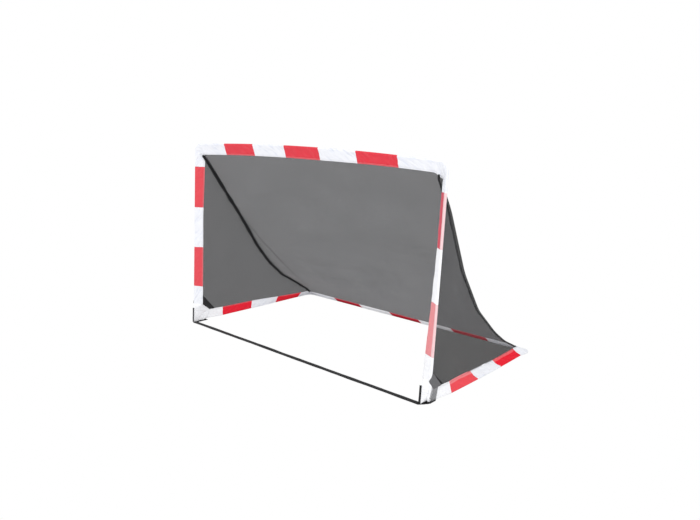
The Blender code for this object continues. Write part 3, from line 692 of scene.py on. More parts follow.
def filled(values, cuts=(), step=0.02):
    """The given values in order, and more between them at most a step apart. Returns (value, is_cut)."""
    found = []
    for a, b in zip(values, values[1:]):
        count = max(1, math.ceil(abs(b - a) / step))
        found.append((a, a in cuts))
        found += [(a + (b - a) * i / count, False) for i in range(1, count)]
    return found + [(values[-1], values[-1] in cuts)]


def across_stations(first, station):
    """A hoop's stations from a corner to the middle, with a cut at each colour change."""
    xs = [x for x in marks_between(STRIPE_END, -STRIPE_END, STRIPES_ACROSS) if x > 0.0]
    return [station(x, cut) for x, cut in filled([first] + xs + [0.0], xs)]


def front_half(side):
    """Stations from the boot's top up a post and along the crossbar to its middle, on the +X side."""
    slant = TOP_HEM_CUT[side]
    end_reach = BAND_REACH * (1.0 - BAR_TAPER[side])
    top_tilt = math.radians(POST_TILT[-1][1])
    top_reach = BAND_REACH * POST_REACH[-1][1]
    hem_x = ROD_HALF - top_reach * math.cos(top_tilt)
    hem_up = ROD_HEIGHT - end_reach * math.cos(BAR_TILT)
    arc_x = ROD_HALF - TOP_CORNER_R
    turn_up = hem_up - slant - HEM_DEPTH
    turn_x = hem_x - slant - HEM_DEPTH

    def post(up, cut):
        tilt = math.radians(blend(POST_TILT, up / HEIGHT))
        reach = BAND_REACH * blend(POST_REACH, up / HEIGHT)
        rod = arch_point(ROD_HALF, up)
        return rod, rod + Vector((-math.cos(tilt), math.sin(tilt), 0.0)) * reach, cut

    def bar(x, cut):
        up = ROD_HEIGHT + BAR_BOW * (1.0 - (x / arc_x) ** 2)
        reach = BAND_REACH * (1.0 - BAR_TAPER[side] * eased(x / turn_x))
        hem = arch_point(x, up - reach * math.cos(BAR_TILT), reach * math.sin(BAR_TILT))
        return arch_point(x, up), hem, cut

    ups = [BOOT_TOP] + marks_between(FOOT_WHITE, HEIGHT - TOP_WHITE, STRIPES_UP)
    stations = [post(up, cut) for up, cut in filled(ups + [turn_up], ups)]
    for step in range(CORNER_STEPS + 1):
        share = step / CORNER_STEPS
        turn = math.pi / 2 * share
        rod = arch_point(arc_x + TOP_CORNER_R * math.cos(turn),
                         ROD_HEIGHT - TOP_CORNER_R * (1.0 - math.sin(turn)))
        back = top_reach * math.sin(top_tilt) * (1.0 - share) + end_reach * math.sin(BAR_TILT) * share
        hem = arch_point(hem_x - slant * share, hem_up - slant * (1.0 - share), back)
        stations.append((rod, hem, False))
    return stations + across_stations(turn_x, bar)


def side_x(side, y):
    """How far out the ground hoop's rod lies at a depth."""
    bow = SIDE_BOW[side] * math.sin(math.pi * y / DEPTH)
    return FOOT_HALF + (SIDE_HALF[side] - FOOT_HALF) * eased(y / FRONT_WHITE) + bow


def ground_half(side):
    """Stations from a boot's back along the floor to the middle of the rear sleeve, on the +X side."""
    corner_x = side_x(side, REAR_Y - REAR_CORNER_R)
    lean = math.radians(blend(SIDE_LEAN[side], 1.0))
    hem_x = corner_x - GROUND_REACH * math.sin(lean)
    hem_y = REAR_Y - GROUND_REACH * math.sin(REAR_LEAN)
    turn_y = hem_y - HEM_CORNER_R - HEM_DEPTH
    turn_x = hem_x - HEM_CORNER_R - HEM_DEPTH

    def along_side(y, cut):
        lift = (FOOT_Z - NOSE_R) * max(0.0, 1.0 - (y - BOOT_DEPTH) / (FRONT_WHITE - BOOT_DEPTH))
        rod = Vector((side_x(side, y), y, NOSE_R + lift))
        tilt = math.radians(blend(SIDE_LEAN[side], y / DEPTH))
        return rod, rod + Vector((-math.sin(tilt), 0.0, math.cos(tilt))) * GROUND_REACH, cut

    def along_rear(x, cut):
        rod = Vector((x, REAR_Y, NOSE_R))
        return rod, rod + Vector((0.0, -math.sin(REAR_LEAN), math.cos(REAR_LEAN))) * GROUND_REACH, cut

    ys = [BOOT_DEPTH] + marks_between(FRONT_WHITE, DEPTH - REAR_WHITE, STRIPES_UP)
    stations = [along_side(y, cut) for y, cut in filled(ys + [turn_y], ys)]
    for step in range(CORNER_STEPS + 1):
        share = step / CORNER_STEPS
        turn = math.pi / 2 * share
        rod = Vector((corner_x - REAR_CORNER_R * (1.0 - math.cos(turn)),
                      REAR_Y - REAR_CORNER_R * (1.0 - math.sin(turn)), NOSE_R))
        rise = GROUND_REACH * (math.cos(lean) * (1.0 - share) + math.cos(REAR_LEAN) * share)
        hem = Vector((hem_x - HEM_CORNER_R * (1.0 - math.cos(turn)),
                      hem_y - HEM_CORNER_R * (1.0 - math.sin(turn)), NOSE_R + rise))
        stations.append((rod, hem, False))
    return stations + across_stations(turn_x, along_rear)


def whole_border(left, right):
    start = [(mirrored(rod, "left"), mirrored(hem, "left"), cut) for rod, hem, cut in left]
    return Border(start[:-1] + right[::-1])


def band_list(side_band, corner, middle_band):
    """(node, is_red) in order along a hoop, from the left boot to the right one."""
    named = [(f"left_{side_band}_{k}", k % 2 == 1) for k in range(STRIPES_UP + 1, 0, -1)]
    named.append((f"left_{corner}", False))
    named += [(f"{middle_band}_{k}", k % 2 == 1) for k in range(1, STRIPES_ACROSS + 1)]
    named.append((f"right_{corner}", False))
    return named + [(f"right_{side_band}_{k}", k % 2 == 1) for k in range(1, STRIPES_UP + 2)]


def added(name, data):
    """A new object in the scene."""
    made = bpy.data.objects.new(name, data)
    bpy.context.scene.collection.objects.link(made)
    return made


def mesh_piece(name, points, faces, places, material, body):
    """A piece from points and faces, with its cloth map in metres, riding on a body if one is named."""
    mesh = bpy.data.meshes.new(name)
    mesh.from_pydata([(p.x, p.y + FEET_Y, p.z) for p in points], [], faces)
    layer = mesh.uv_layers.new(name=UV_NAME)
    for polygon in mesh.polygons:
        for loop in polygon.loop_indices:
            layer.data[loop].uv = places[mesh.loops[loop].vertex_index]
    work = bmesh.new()
    work.from_mesh(mesh)
    bmesh.ops.recalc_face_normals(work, faces=work.faces)
    work.to_mesh(mesh)
    work.free()
    mesh.materials.append(material)
    mesh.shade_smooth()
    mesh.set_sharp_from_angle(angle=math.radians(42.0))
    piece = added(name, mesh)
    if body:
        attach(piece, body)
    return piece


def grid_faces(rows, columns, closed):
    """Quads between rows of points. Closed joins each row's end to its start."""
    faces = []
    last = columns if closed else columns - 1
    for i in range(rows - 1):
        for k in range(last):
            n = (k + 1) % columns
            faces.append((i * columns + k, i * columns + n, (i + 1) * columns + n, (i + 1) * columns + k))
    return faces


def tube_faces(rings, count):
    """Quads round a tube of rings of points, and a face over either end."""
    ends = [tuple(range(count))[::-1], tuple(range((rings - 1) * count, rings * count))]
    return grid_faces(rings, count, True) + ends


def section():
    """A sleeve's outline, round once, as (towards the hem, across the face, distance from the hem).

    On the flats the first and the last are shares of the width. Round the rod they are metres past 0 and 1.
    """
    outline = []
    for step in range(NOSE_STEPS + 1):
        turn = math.pi / 2 + math.pi * step / NOSE_STEPS
        behind = NOSE_R * math.cos(turn)
        outline.append((behind, NOSE_R * math.sin(turn), 1.0 + abs(behind)))
    side = []
    for step in range(1, FLAT_STEPS + 1):
        share = step / FLAT_STEPS
        half = HEM_THICKNESS / 2 + (NOSE_R - HEM_THICKNESS / 2) * (1.0 - share) ** 1.35
        side.append((share, half, 1.0 - share))
    outline += [(t, -h, v) for t, h, v in side]
    outline += [(t, h, v) for t, h, v in side[::-1]]
    return outline


def wobble(point, scale, seed):
    """Smooth noise from -1 to 1 at a place."""
    return noise.noise(Vector((point[0] * scale, point[1] * scale, seed * 7.31)))


def band_folds(cloth, distance, length, across, reach, slanted, seed):
    """How far the cloth stands off its section at a place on a band."""
    share = clamped(across / reach)
    middle = math.sin(math.pi * share) ** 0.7
    small = wobble((distance * 1.6, across * 0.7), 46.0, seed) * 0.7
    small += wobble((distance, across), 95.0, seed) * 0.3
    near_end = min(distance, length - distance)
    gather = hump(near_end, GATHER_END) * wobble((distance * 0.2, across), 190.0, seed + 3) * 0.8
    height = cloth.pucker * (small + gather) * (0.35 + 0.65 * middle)
    if slanted:
        slope = wobble((distance + across * 1.1, across * 0.35 - distance * 0.25), 42.0, seed + 5)
        height += cloth.corner_crease * slope * middle
    seam = hump(near_end, SEAM_HALF) * SEAM_SINK
    hem_line = hump(across - STITCH_AT, CREASE_HALF) * CREASE_SINK
    return height - seam - hem_line


def strayed(cloth, border, cut, share, sag):
    """A sewn border's place along the sleeve, which strays most where the sleeve creases lengthwise."""
    if cut < 0.001 or cut > border.run[-1] - 0.001:
        return cut
    wave = wobble((cut * 9.0, share * 2.6), 1.0, 27.0) * math.sin(math.pi * share) ** 0.5
    return cut + cloth.border_wave * (1.3 * wave + sag(cut) * 260.0 * math.sin(math.tau * share))


def sleeve_piece(cloth, node, border, cuts, material, body, sag, seed):
    """One sewn length of sleeve, from one colour change to the next.

    At the right rear corner the cloth bulges outwards over the rod.
    """
    outline = section()
    start, end = cuts
    rings = max(2, math.ceil(abs(end - start) / cloth.row_step)) + 1
    ends = [(strayed(cloth, border, start, max(toward, 0.0), sag) + SEWN_GAP,
             strayed(cloth, border, end, max(toward, 0.0), sag) - SEWN_GAP) for toward, _, _ in outline]
    slanted = "corner" in node
    ear = REAR_EAR if node == "right_rear_corner" else 0.0
    ear_at = border.run[corner_station(border, "right", rear_corner)] if ear else 0.0
    points, places = [], []
    for i in range(rings):
        past_ear = start + (end - start) * i / (rings - 1) - ear_at
        bulge = ear * hump(past_ear, EAR_HALF)
        for (toward, across_face, from_hem), (low, high) in zip(outline, ends):
            distance = low + (high - low) * i / (rings - 1)
            rod, hem = border.at(distance)
            along = border.along(distance)
            chord = hem - rod
            width = chord.length
            out = square_to(chord, along)
            face = along.cross(out).normalized()
            share = max(toward, 0.0)
            flat = share > 0.0
            across = from_hem * width if flat else width + from_hem - 1.0
            lift = band_folds(cloth, distance - start, end - start, across, width, slanted, seed)
            sway = wobble((distance, 0.0), 21.0, seed + 9) * cloth.pucker * 1.2 * share
            if flat:
                sway += sag(distance) * 4.0 * share ** 1.4 * (1.0 - share)
                point = rod + chord * share + face * math.copysign(1.0, across_face) * lift
            else:
                away = (out * toward + face * across_face).normalized()
                point = rod + out * toward + away * lift * 0.25
            outward = Vector((-chord.x, -chord.y, 0.0)).normalized() * bulge * (1.0 - share) ** 2
            points.append(point + face * (across_face + sway) + outward)
            places.append((distance, across))
    piece = mesh_piece(f"{node}_cloth", points, tube_faces(rings, len(outline)), places, material, body)
    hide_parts(node)
    return piece


def boot_line(side):
    """Stations of (rod, hem, fin, growth) down the foot of a post, round the bend and along the floor."""
    top_rod, top_hem, _ = front_half(side)[0]
    end_rod, end_hem, _ = ground_half(side)[0]
    path = []
    ups = [top_rod.z, (top_rod.z + FIN_TOP) / 2, FIN_TOP, HINGE_Z, FOOT_Z + BOOT_BEND_R]
    for up, _ in filled(ups, step=0.005):
        path.append((Vector((0.0, up * math.tan(FRONT_LEAN), up)), 0.0))
    for step in range(1, BEND_STEPS + 1):
        turn = math.pi / 2 * step / BEND_STEPS
        path.append((Vector((0.0, BOOT_BEND_R * (1.0 - math.cos(turn)),
                             FOOT_Z + BOOT_BEND_R * (1.0 - math.sin(turn)))), turn))
    for y, _ in filled([BOOT_BEND_R, BOOT_DEPTH], step=0.005)[1:]:
        path.append((Vector((0.0, y, FOOT_Z)), math.pi / 2))
    runs = runs_along([point for point, _ in path])
    drawn_from = next(run for run, (p, _) in zip(runs, path) if p.z <= HINGE_Z + 0.0005)
    drawn_to = next(run for run, (_, turn) in zip(runs, path) if turn >= math.pi / 2 - 0.001)
    floor = ABOVE_STRAP + HEM_THICKNESS / 2
    stations = []
    for (point, turn), run in zip(path, runs):
        share = run / runs[-1]
        foot = clamped((run - drawn_from) / (drawn_to - drawn_from))
        tail = max((run - drawn_to) / (runs[-1] - drawn_to), 0.0)
        x = ROD_HALF + (FOOT_HALF - ROD_HALF) * foot + (end_rod.x - FOOT_HALF) * tail
        rod = Vector((x, point.y, point.z))
        inwards = FIN_IN + (FIN_FOOT_IN - FIN_IN) * foot
        fin = rod - Vector((inwards, 0.0, 0.0)) + fin_reach(turn, floor)
        growth = min((BOOT_TOP - point.z) / (BOOT_TOP - FIN_TOP),
                     (BOOT_DEPTH - HEM_DEPTH - point.y) / FIN_END)
        stations.append((rod, top_hem.lerp(end_hem, share), fin, eased(growth)))
    return stations


def fin_reach(turn, floor):
    """From the rod's line to the front seam, which runs straight down to the floor and back along it."""
    to_front = (BOOT_BEND_R + FIN_OUT) / max(math.cos(turn), 0.001)
    to_floor = (BOOT_BEND_R + FOOT_Z - floor) / max(math.sin(turn), 0.001)
    return Vector((0.0, -math.cos(turn), -math.sin(turn))) * (min(to_front, to_floor) - BOOT_BEND_R)


def boot_ring(rod, hem, along, fin, growth):
    """A boot's outline at a station: round the rod, out to the front seam and back to the hem."""
    out = square_to(hem - rod, along)
    face = along.cross(out).normalized()
    ring = []
    for step in range(NOSE_STEPS + 1):
        turn = math.pi / 2 + math.pi * step / NOSE_STEPS
        ring.append(rod + (out * math.cos(turn) + face * math.sin(turn)) * BOOT_NOSE_R)
    low, high = hem - face * HEM_THICKNESS / 2, hem + face * HEM_THICKNESS / 2
    front, back = ring[-1], ring[0]
    across = (low - front).normalized() * HEM_THICKNESS / 2
    edge_a = front.lerp(low, FIN_ROOT[0]).lerp(fin - across, growth)
    edge_b = front.lerp(low, FIN_ROOT[1]).lerp(fin + across, growth)
    for a, b, start in ((front, edge_a, 1), (edge_b, low, 0)):
        for share in [k / FIN_STEPS for k in range(start, FIN_STEPS + 1)]:
            ring.append(a.lerp(b, share) + face * (BOOT_HOLLOW * growth * math.sin(math.pi * share)))
    return ring + [high.lerp(back, k / HEM_STEPS) for k in range(HEM_STEPS)]


def boot_piece(side, material):
    """The white cloth boot in which both rods end."""
    stations = boot_line(side)
    seed = 31.0 if side == "left" else 47.0
    points, places = [], []
    rods = [station[0] for station in stations]
    last = len(rods) - 1
    for i, ((rod, hem, fin, growth), run) in enumerate(zip(stations, runs_along(rods))):
        along = (rods[min(i + 1, last)] - rods[max(i - 1, 0)]).normalized()
        ring = boot_ring(rod, hem, along, fin, growth)
        centre = sum(ring, Vector()) / len(ring)
        height = BOOT_FOLD if 0 < i < last else 0.0
        for k, point in enumerate(ring):
            fold = wobble((run * 1.3, k * 0.006), 55.0, seed) * height
            away = (point - centre).normalized()
            moved = point + away * min(fold, BOOT_SWELL)
            moved.z = max(moved.z, ABOVE_STRAP)
            points.append(mirrored(moved, side))
            places.append((run, (point - hem).length))
    faces = tube_faces(len(stations), len(ring))
    piece = mesh_piece(f"{side}_boot_cloth", points, faces, places, material, None)
    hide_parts(f"{side}_boot")
    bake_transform(piece)
    return piece


def skin(starts, ends, lows, highs, belly=1.0):
    """Rows of points that fill four edges, as in the part's source."""
    rows = []
    last_row, last_column = len(starts) - 1, len(lows) - 1
    for i in range(last_row + 1):
        v = i / last_row
        row = []
        start_bend = starts[i] - starts[0].lerp(starts[-1], v)
        end_bend = ends[i] - ends[0].lerp(ends[-1], v)
        for k in range(last_column + 1):
            u = k / last_column
            bend = start_bend * (1.0 - u) ** belly
            row.append(lows[k].lerp(highs[k], v) + bend + end_bend * u ** belly)
        rows.append(row)
    return rows


def corner_station(border, side, which):
    """The station at the middle of a rounded corner, where the hoop reaches furthest out."""
    half = len(border.run) // 2
    order = range(half) if side == "left" else range(len(border.run) - 1, half, -1)
    return max(order, key=lambda i: which(border.rod[i]))


def past_corner(border, side, which, step):
    """The place halfway from the middle of a hem's corner to its end, so that the net follows it."""
    return border.run[corner_station(border, side, which) + step * (CORNER_STEPS // 4)]


def top_corner(point):
    return abs(point.x) + point.z


def rear_corner(point):
    return abs(point.x) + point.y


def seam_line(side, front, ground, count):
    """A diagonal seam's points, and the ways that the back and side panels leave it."""
    top = corner_station(front, side, top_corner)
    foot = corner_station(ground, side, rear_corner)
    ends = []
    for border, station in ((front, top), (ground, foot)):
        rod, hem = border.rod[station], border.hem[station]
        ends.append(hem + (hem - rod).normalized() * SEAM_START * 0.4)
    chord = ends[1] - ends[0]
    inward = Vector((-1.0 if side == "right" else 1.0, 0.0, 0.0))
    down = Vector((0.0, chord.z, -chord.y)).normalized()
    bend = ((0.0, 0.0, 0.0), *SEAM_BEND, (1.0, 0.0, 0.0))
    sags, draws = [row[:2] for row in bend], [row[::2] for row in bend]
    points = []
    for i in range(count + 1):
        share = i / count
        near = [share + d for d in (-0.02, 0.0, 0.02)] if 0 < i < count else []
        sag, draw = (sum(blend(table, place) for place in near) / 3 for table in (sags, draws))
        sag += blend(LEFT_SAG, share) if side == "left" else 0.0
        points.append(ends[0].lerp(ends[1], share) + (down * sag + inward * draw) * chord.length)
    rod, hem = front.rod[top], front.hem[top]
    points[0] = hem - (hem - rod).normalized() * SEAM_TUCK
    ways = []
    for direction in (inward, down):
        square = []
        for i in range(len(points)):
            along = (points[min(i + 1, count)] - points[max(i - 1, 0)]).normalized()
            square.append(square_to(direction, along))
        ways.append(square)
    return points, ways[0], ways[1]


def patch_run(border, side, reach, start):
    """How far along a border, from its left end, a place near either boot lies."""
    distance = reach - start
    return distance if side == "left" else border.run[-1] - distance


def side_net_rows(side, front, ground, seam, columns):
    """A side panel: rows from the post's hem to the floor's, each from the corner patch to the seam."""
    edges = []
    step = -1 if side == "left" else 1
    for border, which, reach, start in ((front, top_corner, PATCH_UP, BOOT_TOP),
                                        (ground, rear_corner, PATCH_BACK, BOOT_DEPTH)):
        near = patch_run(border, side, reach, start)
        far = past_corner(border, side, which, step)
        edges.append(border.net_edges(near, far, columns - 1, NET_INSET))
    highs, lows = edges[0] + [seam[0]], edges[1] + [seam[-1]]
    count = len(seam) - 1
    starts = [highs[0].lerp(lows[0], i / count) for i in range(count + 1)]
    return skin(starts, seam, highs, lows)


def back_net_rows(front, ground, left, right, columns):
    """The back panel: rows from the crossbar's hem to the rear sleeve's, each from seam to seam."""
    rows = []
    for border, which in ((front, top_corner), (ground, rear_corner)):
        start = past_corner(border, "left", which, 1)
        end = past_corner(border, "right", which, -1)
        rows.append(border.net_edges(start, end, columns - 2, NET_INSET))
    tops, feet = [left[0]] + rows[0] + [right[0]], [left[-1]] + rows[1] + [right[-1]]
    return skin(left, right, tops, feet, BACK_BELLY)


def rippled(rows, height, seed, extra=None):
    """The same rows with the slack cloth's ripples, still at the edges."""
    last_row, last_column = len(rows) - 1, len(rows[0]) - 1
    moved = []
    for i, row in enumerate(rows):
        v = i / last_row
        line = []
        for k, point in enumerate(row):
            u = k / last_column
            if 0 < i < last_row and 0 < k < last_column:
                across = row[k + 1] - row[k - 1]
                down = rows[i + 1][k] - rows[i - 1][k]
                normal = across.cross(down).normalized()
                still = min(1.0, 9.0 * u * (1.0 - u)) * min(1.0, 7.0 * v * (1.0 - v))
                ripple = wobble((u * 5.0, v * 1.6), 1.6, seed)
                ripple += 0.5 * wobble((u * 16.0, v * 2.2), 1.7, seed + 2)
                shift = height * ripple * still + (extra(u, v) if extra else 0.0)
                point = point + normal * shift
            line.append(point)
        moved.append(line)
    return moved


def sheet_piece(name, rows, material, body, node, thickness=0.0):
    """A piece of cloth on a grid, with its map measured along its middle row and column."""
    width = len(rows[0])
    points = [p for row in rows for p in row]
    across = runs_along(rows[len(rows) // 2])
    down = runs_along([row[width // 2] for row in rows])
    places = [(v, u) for v in down for u in across]
    piece = mesh_piece(name, points, grid_faces(len(rows), width, False), places, material, body)
    if thickness:
        solid = piece.modifiers.new("thickness", "SOLIDIFY")
        solid.thickness = thickness
        solid.offset = 0.0
    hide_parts(node)
    return piece


def webbing_piece(name, rows, material, body, node, thickness):
    piece = sheet_piece(name, rows, material, body, node, thickness)
    return piece


def bent_line(corners, radius, step):
    """Points along straight runs with rounded corners."""
    points = [corners[0]]
    for a, b, c in zip(corners, corners[1:], corners[2:]):
        reach = min(radius, (b - a).length / 2, (c - b).length / 2)
        start = b + (a - b).normalized() * reach
        end = b + (c - b).normalized() * reach
        for t in marks_between(0.0, 1.0, 6):
            points.append(start * (1 - t) ** 2 + b * 2 * t * (1 - t) + end * t ** 2)
    points.append(corners[-1])
    line = [points[0]]
    for a, b in zip(points, points[1:]):
        count = max(1, math.ceil((b - a).length / step))
        line += [a.lerp(b, i / count) for i in range(1, count + 1)]
    return line


class State:
    """What the operators share while the goal is dressed: its two borders and its materials."""

    def __init__(self):
        self.front = whole_border(front_half("left"), front_half("right"))
        self.ground = whole_border(ground_half("left"), ground_half("right"))
        self.materials = {}

    def material(self, name, maker, *values):
        if name not in self.materials:
            self.materials[name] = maker(*values)
        return self.materials[name]


state = State()


def white_cloth(context):
    white = tuple(context.scene.goal_sleeves.white)
    return state.material("white", sleeve_cloth, "white_cloth", white, 6.0)


def bright_cloth(context):
    # The lit copy of the white cloth: painted light
    bright = tuple(context.scene.goal_sleeves.bright)
    return state.material("bright", sleeve_cloth, "bright_cloth", bright, 8.0, 0.12)


def red_cloth(context, node):
    """Reds with painted light and shade: the right post's red is painted paler along its rod, some bands
    all over, and the rear's red is tinted darker as painted shade, the ground's redder and a little lighter
    as painted light.
    """
    cloth = context.scene.goal_sleeves
    haze = PAINTED_HAZE.get(node, 0.0) * cloth.haze
    glare = cloth.glare if node.startswith("right_post") else haze
    hem_glare = HEM_GLARE.get(node, 0.0)
    # Tinted reds with less shine: darker at the rear as painted shade, redder and a little lighter on the
    # ground as painted light
    depth = [PAINTED_RED_TINT[part] for part in PAINTED_RED_TINT if node.startswith(part)]
    colour = tuple(c * share for c, share in zip(cloth.red, depth[0] if depth else (1.0, 1.0, 1.0)))
    name = "red_cloth_" + "_".join(str(round(100 * v)) for v in (colour[0], glare, haze, hem_glare))
    glare_from, shine = 0.90 if haze else 0.74, 0.1 if depth else 1.0
    return state.material(name, sleeve_cloth, name, colour, 4.0, 0.40, glare, haze, glare_from, hem_glare,
                          shine)


def band_cloth(context, node, red):
    """The white of the right post, along the rear and beside the boots is the lit copy: painted light."""
    if red:
        return red_cloth(context, node)
    bright = node.startswith(("right_post", "rear_band")) or node.endswith("ground_band_4")
    return bright_cloth(context) if bright else white_cloth(context)


def black_webbing(context):
    web = context.scene.goal_webbing
    return state.material("black", webbing, "black_webbing", tuple(web.black), web.rib)


def worn_webbing(context):
    # The lit copy of the black webbing: painted light
    web = context.scene.goal_webbing
    return state.material("worn", webbing, "worn_webbing", tuple(web.worn), web.rib)


def tail_webbing(context):
    """The tail beside a boot is painted lighter still, as painted light; under the boot it is black."""
    web = context.scene.goal_webbing
    lit = tuple(c * TAIL_LIT for c in web.worn)
    return state.material("tail", webbing, "tail_webbing", lit, web.rib, TAIL_BLACK_TO)


def sew_bands(context, border, cuts, bands, body, sag, seed):
    """A hoop's sleeve: one piece for each band, between its two borders."""
    cloth = context.scene.goal_sleeves
    for i, ((node, red), start, end) in enumerate(zip(bands, cuts, cuts[1:])):
        material = band_cloth(context, node, red)
        piece = sleeve_piece(cloth, node, border, (start, end), material, body, sag, seed + i)


class GOAL_OT_front_sleeves(bpy.types.Operator):
    """Sews the striped sleeve onto the front arch"""

    bl_idname = "goal.front_sleeves"
    bl_label = "Front sleeves"

    def execute(self, context):
        bands = band_list("post_band", "top_corner", "crossbar_band")
        border = state.front
        sew_bands(context, border, border.cuts, bands, "front_frame", lambda distance: 0.0, 11.0)
        return {"FINISHED"}


class GOAL_OT_ground_sleeves(bpy.types.Operator):
    """Sews the striped sleeve onto the ground hoop"""

    bl_idname = "goal.ground_sleeves"
    bl_label = "Ground sleeves"

    def execute(self, context):
        deepest = context.scene.goal_sleeves.lengthwise_sag
        border = state.ground

        def sag(distance):
            """The right side lies nearly flat, with a crease along it."""
            from_right = border.run[-1] - distance
            window = eased((from_right - 0.12) / 0.15) * eased((0.80 - from_right) / 0.10)
            return deepest * window

        bands = band_list("ground_band", "rear_corner", "rear_band")
        cuts = [cut + slip for cut, slip in zip(border.cuts, GROUND_SLIP)]
        cuts += border.cuts[len(GROUND_SLIP):]
        sew_bands(context, border, cuts, bands, "base", sag, 51.0)
        return {"FINISHED"}


class GOAL_OT_boots(bpy.types.Operator):
    """Sews the white boots in which both rods end"""

    bl_idname = "goal.boots"
    bl_label = "Boots"

    def execute(self, context):
        for side in SIDES:
            boot_piece(side, bright_cloth(context))
        return {"FINISHED"}


class GOAL_OT_net(bpy.types.Operator):
    """Hangs the three mesh panels and binds them with tape along both diagonal seams"""

    bl_idname = "goal.net"
    bl_label = "Net"

    def execute(self, context):
        net = context.scene.goal_net
        # Each side panel's painted lightness
        painted_panel_lightness = {"left": net.left_shade, "right": net.right_shade}
        cover = {"left": net.cover, "right": net.right_cover}
        seams = {}
        for side in SIDES:
            seam, to_back, to_side = seam_line(side, state.front, state.ground, net.rows)
            seams[side] = seam
            rows = side_net_rows(side, state.front, state.ground, seam, SIDE_COLUMNS)
            rows = rippled(rows, net.ripple, 3.0 if side == "left" else 8.0)
            mesh = net_mesh(f"{side}_net_mesh", net, painted_panel_lightness[side], cover[side])
            piece = self.hang(f"{side}_side_mesh", rows, mesh, "base", f"{side}_side_net")
            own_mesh(piece)
            self.add_tape(context, side, seam, to_back, to_side)

        def fold(u, v):
            """A slack fold beside the left seam."""
            window = eased((v - 0.28) / 0.10) * eased((0.80 - v) / 0.15)
            height, middle, half = 0.006, 0.030 + 0.02 * v, 0.009
            return height * window * hump(u - middle, half)

        rows = back_net_rows(state.front, state.ground, seams["left"], seams["right"], net.columns)
        rows = rippled(rows, net.ripple, 17.0, fold)
        mesh = net_mesh("back_net_mesh", net, net.back_shade, net.cover, True)
        piece = self.hang("back_mesh", rows, mesh, None, "back_net")
        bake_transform(piece)
        return {"FINISHED"}

    def hang(self, name, rows, material, body, node):
        """A mesh panel. It is mostly holes, so it doesn't shade what lies behind it."""
        piece = sheet_piece(name, rows, material, body, node)
        piece.visible_shadow = False
        piece.visible_diffuse = False
        return piece

    def add_tape(self, context, side, seam, to_back, to_side):
        """The tape is folded over the seam: one half lies on the back panel and one on the side panel."""
        rows = []
        for i, (point, a, b) in enumerate(zip(seam, to_back, to_side)):
            share = i / (len(seam) - 1)
            width = TAPE_WIDTH * (0.50 + TAPE_EXTRA[side] * (1.0 - 0.62 * share))
            width *= 1.0 + 0.30 * wobble((share * 23.0, 2.0), 1.0, 3.0 if side == "left" else 7.0)
            middle = point + (a + b).normalized() * TAPE_LIFT
            half_a, half_b = a * width * 1.05, b * width * 0.90
            rows.append([middle + half_b, middle + half_b * 0.5, middle, middle + half_a * 0.5,
                         middle + half_a])
        piece = webbing_piece(f"{side}_seam_binding", rows, black_webbing(context), None,
                              f"{side}_seam_tape", STRAP_THICKNESS)
        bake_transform(piece)


